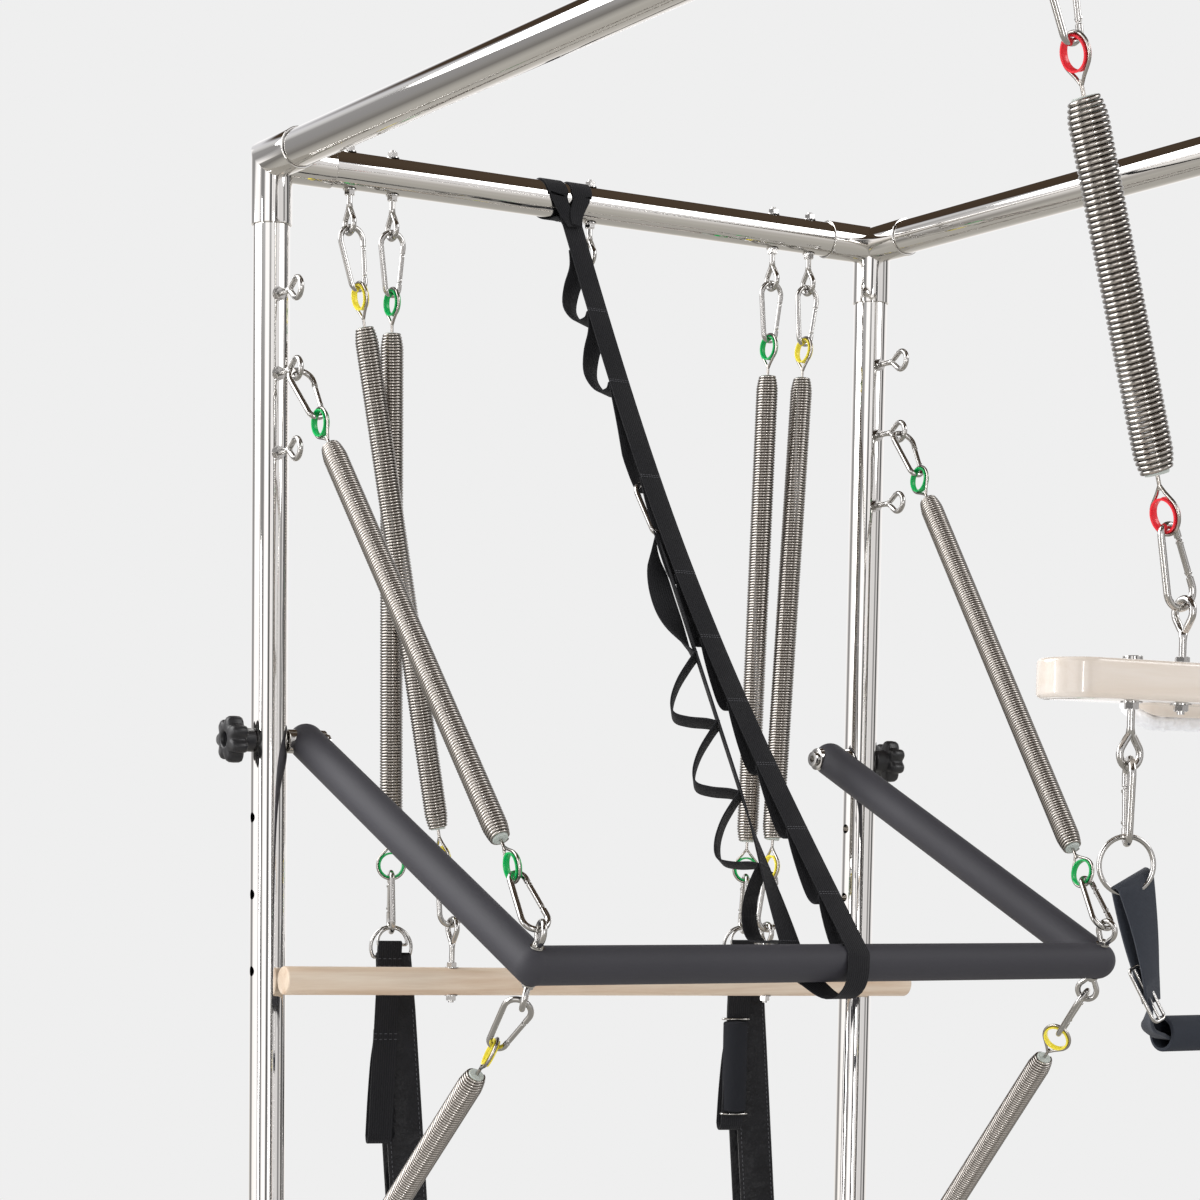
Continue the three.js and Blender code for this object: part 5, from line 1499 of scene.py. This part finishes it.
    def grip(self, skin):
        """Foam on the front of the web, between two oval wires."""
        top = WEB_LENGTH * 0.4
        foot = top + GRIP_LENGTH
        centre = Vector((WEB_X[0] + (WEB_X[1] - WEB_X[0]) * 0.65, -0.0088, 0))
        profile = [(top, 0.0), (top, 0.0055), (top + 0.0015, GRIP_R - 0.0012),
                   (top + 0.003, GRIP_R), (foot - 0.003, GRIP_R),
                   (foot - 0.0015, GRIP_R - 0.0012), (foot, 0.0055), (foot, 0.0)]
        skin.turned(rounded(profile, 0.002, 4), centre, -Z, sides=56, finish=GRIP_FOAM)
        for at in (top - 0.0018, foot + 0.0018):
            wire = [centre + Vector((0.0158 * math.cos(a), -0.001 + 0.0060 * math.sin(a), -at))
                    for a in (k / 40 * math.tau for k in range(40))]
            skin.tube(wire, 0.0012, Z, closed=True, sides=10, finish=RING_METAL)


# ---- Safety strap ---------------------------------------------------------------

STRAP_W = 0.025
STRAP_T = 0.0018
STRAP_TOP_X = -0.037
STRAP_FOOT_X = 0.020
STRAP_RETURN_X = -0.026
STRAP_BANDS = (-0.054, -0.020)
STRAP_KNOT = 0.0275
STRAP_KNOT_AT = (Vector((STRAP_TOP_X, HALF_LENGTH, TOP))
                 + Vector((0, -1, -1)).normalized() * STRAP_KNOT)
STRAP_END = Vector((STRAP_FOOT_X, BAR_CORNER.y, BAR_CORNER.z))
STRAP_RUN = STRAP_END - STRAP_KNOT_AT
STRAP_FALL = math.atan2(-STRAP_RUN.z, -STRAP_RUN.y)
STRAP_DOWN = Vector((0, -math.cos(STRAP_FALL), -math.sin(STRAP_FALL)))
STRAP_BACK = Vector((0, math.sin(STRAP_FALL), -math.cos(STRAP_FALL)))
STRAP_WRAP_R = BAR_R + FIT + STRAP_T / 2
STRAP_FOOT = STRAP_END - STRAP_BACK * STRAP_WRAP_R
STRAP_BEND = ("frame", "push_bar", STRAP_KNOT_AT, STRAP_FOOT)
STRAP_SAG = 0.036
STRAP_SEAMS = [0.127, 0.222, 0.3505] + [0.4812 + 0.0878 * k for k in range(6)]
STRAP_BULGES = (0.030, 0.029, 0.022, 0.011, 0.014, 0.014, 0.015, 0.014, 0.016, 0.017)
HOOKED_LOOP = 2
HOOK_SHARE = 0.350
HOOK_BACK = 0.0127
HOOKED_W = 0.010
RETURN_SEAMS = (0.29, 0.45, 0.61, 0.767, 0.932)
RETURN_BULGE = 0.037
LAST_BULGE = 0.014
EDGE_ON = math.radians(-57)
LOOP_TURN = math.radians(-26)
SEAM_PROUD = STRAP_T / 2 + 0.0001

# Half outlines of a loop between two seams: share of the run, share of the bulge
HANGING_LOOP = ((0, 0), (0.20, 0.22), (0.42, 0.72), (0.72, 1.0), (0.98, 0.78), (1.05, 0.30),
                (1, 0))
DRAWN_LOOP = ((0, 0), (0.20, 0.16), (0.45, 0.42), (0.80, 0.86), (0.98, 1.0), (1.054, 0.80),
              (1.056, 0.45), (1, 0))
FLAT_LOOP = ((0, 0), (0.25, 0.40), (0.60, 0.80), (0.92, 1.0), (1.06, 0.70), (1.05, 0.25),
             (1, 0))
WAVE_LOOP = ((0, 0), (0.10, 0.25), (0.30, 0.68), (0.53, 1.0), (0.72, 1.06), (0.84, 0.72),
             (0.93, 0.25), (1, 0))


def along_strap(share, back=0.0):
    """A place on the slack run from the knot to the bar, or behind it."""
    sag = STRAP_SAG * math.sin(math.pi * min(1.0, max(0.0, share)))
    return STRAP_KNOT_AT.lerp(STRAP_FOOT, share) + STRAP_BACK * (back + sag)


def strap_ways(angle):
    """The ways out of the ribbon and across it, when it is turned about its run."""
    return (X * math.sin(angle) + STRAP_BACK * math.cos(angle),
            X * math.cos(angle) - STRAP_BACK * math.sin(angle))


def loop_places(outline, start, end, steps):
    """The places of a loop between two seams: shares of the run and of the bulge."""
    for spot in smooth_path([Vector((a, b, 0)) for a, b in outline], steps)[:-1]:
        yield start + (end - start) * spot.x, spot.y


class TOWER_OT_safety_strap(TowerStep, bpy.types.Operator):
    """Builds the safety strap with its sewn loops and its snap hook"""
    bl_idname = "tower.safety_strap"
    bl_label = "Safety strap"

    def execute(self, context):
        hook_top = along_strap(HOOK_SHARE, HOOK_BACK)
        skin, seams = Skin(), []
        self.loops(skin, seams)
        self.front_and_back(skin, seams, hook_top + STRAP_DOWN * HOOK_LENGTH)
        self.bands(skin)
        piece("safety_strap_webbing", skin, "webbing", STRAP_BEND, "safety_strap", sharp=45)
        sewn = grown("stitches", "stitch_thread", {"Pitch": 0.0028, "Stitch length": 0.0019},
                     edges_mesh("strap_seams", seams))
        piece("safety_strap_stitches", sewn, "stitch_thread", STRAP_BEND)
        turn = Matrix.Rotation(math.atan2(STRAP_BACK.z, STRAP_BACK.y), 4, "X")
        piece("safety_strap_hook", snap_hook(Matrix.Translation(hook_top) @ turn), "bright_zinc",
              STRAP_BEND, "strap_hook")
        return {"FINISHED"}

    def loops(self, skin, seams):
        """The ribbon that is sewn on behind in loops, one of them drawn into the hook."""
        stops = [0.045] + STRAP_SEAMS + [0.985]
        line, ways, widths = [], [], []
        for i, (start, end) in enumerate(zip(stops, stops[1:])):
            hangs, hooked = i < HOOKED_LOOP, i == HOOKED_LOOP
            outline = HANGING_LOOP if hangs else DRAWN_LOOP if hooked else FLAT_LOOP
            for share, bulge in loop_places(outline, start, end, 5):
                out, way = strap_ways(LOOP_TURN * max(0.0, min(1.0, bulge)) if hangs else 0.0)
                line.append(along_strap(share, STRAP_T * 1.05)
                            + out * STRAP_BULGES[i] * max(0.0, bulge))
                ways.append(way)
                near = abs(share - HOOK_SHARE) / 0.040 if hooked else 1.0
                widths.append(STRAP_W * (0.42 + 0.58 * min(1.0, near)))
        skin.ribbon(line, ways, widths, STRAP_T)
        for share in STRAP_SEAMS:
            for level in (-0.0012, 0.0012):
                at = along_strap(share, -SEAM_PROUD) + STRAP_DOWN * level
                seams.append([at - X * STRAP_W * 0.44, at + X * STRAP_W * 0.44])

    def front_and_back(self, skin, seams, hook_foot):
        """The ribbon down the front, slackly round the bar and, edge on, up to the hook.

        A second ribbon is sewn on its way back in waves, from the hook down.
        """
        points = [along_strap(k / 60) for k in range(61)]
        for k in range(1, 25):
            share = k / 24
            angle = share * math.pi
            reach = STRAP_WRAP_R + 0.016 * math.sin(angle) ** 3
            x = STRAP_FOOT_X + 0.008 * math.sin(angle) + (STRAP_RETURN_X - STRAP_FOOT_X) * share
            points.append(Vector((x, BAR_CORNER.y, BAR_CORNER.z))
                          - STRAP_BACK * reach * math.cos(angle)
                          + STRAP_DOWN * reach * math.sin(angle))
        start, end = points[-1], hook_foot + STRAP_BACK * (ROD_R + STRAP_T)

        def twisted(share, out):
            """A place on the way back, or out of it, and the way across the ribbon there."""
            swing = min(1.0, max(0.0, 1 - share) / 0.42)
            outward, way = strap_ways(EDGE_ON * swing * swing * (3 - 2 * swing))
            return end.lerp(start, share) + outward * out, way

        ways, widths = [X] * len(points), [STRAP_W] * len(points)
        for k in range(1, 61):
            share = 1 - k / 60
            at, way = twisted(share, 0.0)
            points.append(at)
            ways.append(way)
            widths.append(HOOKED_W + (STRAP_W - HOOKED_W) * min(1.0, share / 0.07))
        skin.ribbon(points, ways, widths, STRAP_T)

        line, ways, widths = [], [], []
        for k in range(25):
            share = k / 25
            rise = math.sin(math.pi * share)
            line.append(twisted(RETURN_SEAMS[0] * share, STRAP_T + 0.013 * rise ** 0.8)[0])
            ways.append(strap_ways(EDGE_ON + math.radians(75) * rise ** 1.3)[1])
            widths.append(HOOKED_W + (STRAP_W - HOOKED_W) * min(1.0, share / 0.25))
        stops = RETURN_SEAMS + (1.0,)
        for low, high in zip(stops, stops[1:]):
            most = RETURN_BULGE if high < 1 else LAST_BULGE
            for share, bulge in loop_places(WAVE_LOOP, low, high, 6):
                at, way = twisted(share, STRAP_T * 1.05 + most * max(0.0, bulge))
                line.append(at)
                ways.append(way)
                widths.append(STRAP_W * 0.92)
        skin.ribbon(line, ways, widths, STRAP_T)
        for share in RETURN_SEAMS:
            at, way = twisted(share, -SEAM_PROUD)
            seams.append([at - way * STRAP_W * 0.42, at + way * STRAP_W * 0.42])

    def bands(self, skin):
        """Two turns round the cross tube that meet in a knot on the strap."""
        reach = TUBE_R + FIT + STRAP_T / 2

        def on_knot(x, down, back):
            at = STRAP_KNOT_AT + STRAP_DOWN * down + STRAP_BACK * back
            return Vector((STRAP_TOP_X + x, at.y, at.z))

        for x, side in zip(STRAP_BANDS, (-1, 1)):
            over = -(STRAP_T * (1.1 + 0.6 * side) + STRAP_T)
            under = STRAP_T * 1.6 + 0.001
            path = [on_knot(side * 0.002, 0.016, over), on_knot(side * 0.006, 0.0, over)]
            for k in range(31):
                angle = math.radians(182 - 274 * k / 30)
                drawn = (STRAP_TOP_X + side * 0.006 - x) * (abs(k - 11) / 20) ** 2
                path.append(Vector((x + drawn, HALF_LENGTH + math.cos(angle) * reach,
                                    TOP + math.sin(angle) * reach)))
            path += [on_knot(side * 0.006, 0.0, under), on_knot(side * 0.002, 0.018, under)]
            band = smooth_path(path, 4)
            last = len(band) - 1
            widths = [0.012 + (STRAP_W - 0.012) * min(1.0, k / 14, (last - k) / 34)
                      for k in range(last + 1)]
            skin.ribbon(band, X, widths, STRAP_T)


# ---- Trapeze and sling ----------------------------------------------------------


class TOWER_OT_trapeze(TowerStep, bpy.types.Operator):
    """Builds the sliding cross bar, the two wooden boards and the fleece"""
    bl_idname = "tower.trapeze"
    bl_label = "Trapeze"

    def execute(self, context):
        sizes = context.scene.tower_sizes
        self.slider(sizes)
        self.board(sizes)
        self.back_board(sizes)
        return {"FINISHED"}

    def slider(self, sizes):
        """A bar across the side tubes, on two sleeves that slide along them."""
        at, name = Vector((0, TRAPEZE_Y, TOP)), "trapeze_cross_bar"
        mesh = Skin().turned(drum(-HALF_WIDTH, HALF_WIDTH, SLIDER_R), at, X, sides=64)
        sleeve = rounded(drum(-SLIDER_SLEEVE_HALF, SLIDER_SLEEVE_HALF, SLIDER_SLEEVE_R), 0.0015, 4)
        bore = drum(-SLIDER_SLEEVE_HALF - 0.002, SLIDER_SLEEVE_HALF + 0.002, TUBE_R + FIT)
        for profile, way in ((sleeve, "UNION"), (bore, "DIFFERENCE")):
            drums = [Skin().turned(profile, at + X * side * HALF_WIDTH, Y, sides=80)
                     for _, side in SIDES]
            mesh = joined_solids(name, mesh, drums, way)
        piece(name, mesh, "polished_tube", "slider", "trapeze_slider", sharp=30)
        eyes, spots = Skin(), []
        for _, side in SIDES:
            eye_bolt(eyes, spots, at + X * side * SLIDER_EYE_X, -Z, X, SLIDER_R, SLIDER_EYE_DROP)
        piece(f"{name}_eyes", eyes, "bright_zinc", "slider", sharp=60)
        nuts(f"{name}_nuts", spots, "slider", sizes)

    def board(self, sizes):
        """The long board, with eye bolts above for the springs and below for the sling."""
        middle, face = board_middle(), BOARD_T / 2
        shape = plank(BOARD_LENGTH, BOARD_W, BOARD_T, sizes.board_edge)
        piece("trapeze_long_board", shape.place(Matrix.Translation(middle)), "lacquered_board",
              "trapeze", "trapeze_board", sharp=60)
        eyes, spots = Skin(), []
        seat = face - 0.0002
        head = rounded([(seat, 0), (seat, 0.0078), (face + 0.0045, 0.0078),
                        (face + 0.0045, 0.0030), (face + 0.0030, 0)], 0.0006, 3)
        for _, side in SIDES:
            low = middle + X * side * BOARD_LOW_EYE_X
            eye_bolt(eyes, spots, middle + X * side * BOARD_EYE_X, Z, X, face, BOARD_EYE_REACH,
                     sunk=0.0002)
            eye_bolt(eyes, spots, low, -Z, Y, face, BOARD_EYE_REACH, sunk=0.0002, nut_ways=(1,))
            eyes.turned(head, low, Z, sides=40)
        piece("trapeze_board_eyes", eyes, "bright_zinc", "trapeze", sharp=60)
        nuts("trapeze_board_nuts", spots, "trapeze", sizes, washer_radius=0.0085)

    def back_board(self, sizes):
        """The short tipped board on its two pins, with the fleece under it."""
        middle, back = board_middle(), TRAPEZE_Y + BOARD_W / 2
        reach = (BACK_W * math.cos(BACK_TILT) + BACK_T * math.sin(BACK_TILT)) / 2
        middle.y = back + BACK_SPACE + reach
        matrix = Matrix.Translation(middle) @ Matrix.Rotation(BACK_TILT, 4, "X")
        shape = plank(BACK_LENGTH, BACK_W, BACK_T, sizes.board_edge).place(matrix)
        for _, side in SIDES:
            shape.turned(drum(FIT, reach + BACK_SPACE, BACK_PIN_R),
                         Vector((side * BACK_LENGTH / 4, back, middle.z)), Y, sides=32)
        piece("trapeze_short_board", shape, "lacquered_board", "trapeze", "trapeze_back_board",
              sharp=60)
        down = Vector((0, math.sin(BACK_TILT), -math.cos(BACK_TILT)))
        place = Matrix.Translation(down * (BACK_T / 2 + FIT + FLEECE_T / 2)) @ matrix
        fleece = plank(BACK_LENGTH, BACK_W, FLEECE_T, 0.006)
        thing = link(fleece.mesh("fleece_base"), "fleece_base")
        remesh = thing.modifiers.new("even", "REMESH")
        remesh.mode, remesh.voxel_size = "VOXEL", 0.0016
        tuft = bpy.data.textures.new("tuft", "CLOUDS")
        tuft.noise_scale = 0.006
        lumps = thing.modifiers.new("tufts", "DISPLACE")
        lumps.texture, lumps.strength, lumps.mid_level = tuft, 0.0042, 0.62
        mesh = baked(thing)
        mesh.transform(place)
        pad = piece("fleece_cover", mesh, "fleece", "trapeze", "fleece_pad", sharp=180)


SLING_NARROW_W = 0.024
SLING_MOUTH_W = 0.019
BUCKLE_ROD_R = 0.0014


class TOWER_OT_sling(TowerStep, bpy.types.Operator):
    """Builds the sling under the trapeze: hooks, rings, strap, buckles and foam grip"""
    bl_idname = "tower.sling"
    bl_label = "Sling"

    def execute(self, context):
        eye_z = board_middle().z - BOARD_EYE_REACH
        ring_z = eye_z - HOOK_IN_EYE - HOOK_LENGTH - HOOK_IN_HANDLE
        grip_z = ring_z - SLING_DROP - 0.005
        metal, strap, legs = Skin(), Skin(), []
        for name, side in SIDES:
            hook_at = Vector((side * BOARD_LOW_EYE_X, TRAPEZE_Y, eye_z - HOOK_IN_EYE))
            turn = Matrix.Rotation(math.pi / 2 + side * SLING_HOOK_TURN, 4, "Z")
            piece(f"sling_snap_hook_{name}", snap_hook(Matrix.Translation(hook_at) @ turn),
                  "bright_zinc", "sling", f"hook_sling_{name}")
            centre = Vector((side * BOARD_LOW_EYE_X, TRAPEZE_Y, ring_z))
            facing = Matrix.Rotation(side * SLING_RING_TURN, 3, "Z")
            circle = [centre + facing @ place
                      for place in around(Vector(), HANDLE_RING_R, X, Z, 56)]
            metal.tube(circle, 0.0021, facing @ Y, closed=True, sides=14)
            legs.append(self.leg(strap, metal, centre, side, grip_z))
        strap.ribbon(*map(list, zip(*(legs[0] + legs[1][::-1]))), SLING_T)
        piece("sling_webbing", strap, "sling_webbing", "sling", "sling_strap", sharp=45)
        piece("sling_rings_and_buckles", metal, "bright_zinc", "sling", sharp=45)
        profile = rounded([(-SLING_HALF, SLING_BORE), (-SLING_HALF, SLING_TUBE_R),
                           (SLING_HALF, SLING_TUBE_R), (SLING_HALF, SLING_BORE),
                           (0.0, SLING_BORE)], 0.0016, 4)
        grip = Skin().turned(profile, Vector((0, TRAPEZE_Y, grip_z)), X, sides=56, closed=True)
        piece("sling_foam_grip", grip, "sling_foam", "sling", "sling_grip")
        return {"FINISHED"}

    def leg(self, strap, metal, centre, side, grip_z):
        """A fold of the strap over the ring, a slide buckle, and the strap's way into the grip.

        The way is returned as (place, way across, width), for the strap through the grip.
        """
        inward = -side
        across = Vector((inward * math.cos(SLING_TIP), 0, math.sin(SLING_TIP)))
        down = Vector((inward * math.sin(SLING_TIP), 0, -math.cos(SLING_TIP)))
        fold = centre + down * 0.0150
        buckle = centre + Vector((inward * 0.0245, -0.006, -0.105))
        turned = Vector((inward * 0.88, 0.38, 0.10)).normalized()
        rows = []

        def fold_side(rise, way, swell):
            depth = 0.0016 + 0.0026 * rise + swell * math.sin(math.pi * rise)
            spread = (SLING_W - SLING_NARROW_W) * max(0.0, rise - 0.25) / 0.75
            rows.append((buckle.lerp(fold, rise) + Y * way * depth, turned.lerp(across, rise),
                         SLING_NARROW_W + spread))

        for k in range(15):
            fold_side(k / 14, 1, 0.004)
        for angle in (k / 8 * math.pi for k in range(1, 8)):
            rows.append((fold + 0.0042 * (math.cos(angle) * Y - math.sin(angle) * down), across,
                         SLING_W))
        for k in range(15):
            fold_side(1 - k / 14, -1, 0.003)
        strap.ribbon(*map(list, zip(*rows)), SLING_T)

        mouth = Vector((side * (SLING_HALF - 0.006), TRAPEZE_Y, grip_z - 0.0035))
        way = smooth_path([
            buckle + (fold - buckle).normalized() * 0.008, buckle,
            buckle.lerp(mouth, 0.42) + Vector((side * 0.009, 0, -0.006)),
            mouth + Vector((side * 0.010, 0, 0.003)), mouth,
            mouth + Vector((inward * 0.03, 0, -0.001))], 7)
        line = []
        for k, point in enumerate(way):
            swing = min(1.0, k / (len(way) - 1) / 0.6)
            line.append((point, turned.lerp(Y, swing),
                         SLING_NARROW_W + (SLING_MOUTH_W - SLING_NARROW_W) * swing))

        bar = Vector((inward * 0.355, -0.309, -0.879)).normalized()
        over = Vector((inward * 0.931, 0.177, 0.313)).normalized()
        out = over.cross(bar).normalized()
        place = (Matrix.Translation(buckle + Vector((-inward * 0.0080, -0.0035, 0.0065)))
                 @ axes_matrix(bar, out, bar.cross(out)))
        wire = [Vector((x, 0.0, z)) for x, z in rounded_box(0.0225, 0.0066, 0.0035)]
        part = Skin().tube(wire, BUCKLE_ROD_R, Y, closed=True, sides=10)
        part.tube([Vector((-0.0215 + 0.043 * k / 6, 0.0, 0.0)) for k in range(7)], 0.0012, Y,
                  sides=10)
        metal.take(part, place)
        return line


# ---- Add-on ---------------------------------------------------------------------

STEPS = (TOWER_OT_stage, TOWER_OT_finishes, TOWER_OT_frame, TOWER_OT_eye_bolts,
         TOWER_OT_push_bar, TOWER_OT_springs, TOWER_OT_roll_bar, TOWER_OT_handles,
         TOWER_OT_safety_strap, TOWER_OT_trapeze, TOWER_OT_sling)


class TOWER_PT_panel(bpy.types.Panel):
    """The steps that build the tower, with its sizes and colours"""
    bl_idname = "TOWER_PT_panel"
    bl_label = "Pilates tower"
    bl_space_type = "VIEW_3D"
    bl_region_type = "UI"
    bl_category = "Tower"

    def draw(self, context):
        layout = self.layout
        for step in STEPS:
            layout.operator(step.bl_idname)
        for group_name in ("tower_sizes", "tower_colours"):
            settings = getattr(context.scene, group_name)
            for key in settings.__annotations__:
                layout.prop(settings, key)


CLASSES = (TowerSizes, TowerColours, *STEPS, TOWER_PT_panel)


def register():
    for made in CLASSES:
        bpy.utils.register_class(made)
    bpy.types.Scene.tower_sizes = bpy.props.PointerProperty(type=TowerSizes)
    bpy.types.Scene.tower_colours = bpy.props.PointerProperty(type=TowerColours)


def unregister():
    del bpy.types.Scene.tower_sizes
    del bpy.types.Scene.tower_colours
    for made in reversed(CLASSES):
        bpy.utils.unregister_class(made)


def main():
    register()
    for step in STEPS:
        family, name = step.bl_idname.split(".")
        getattr(getattr(bpy.ops, family), name)()


if __name__ == "__main__":
    main()
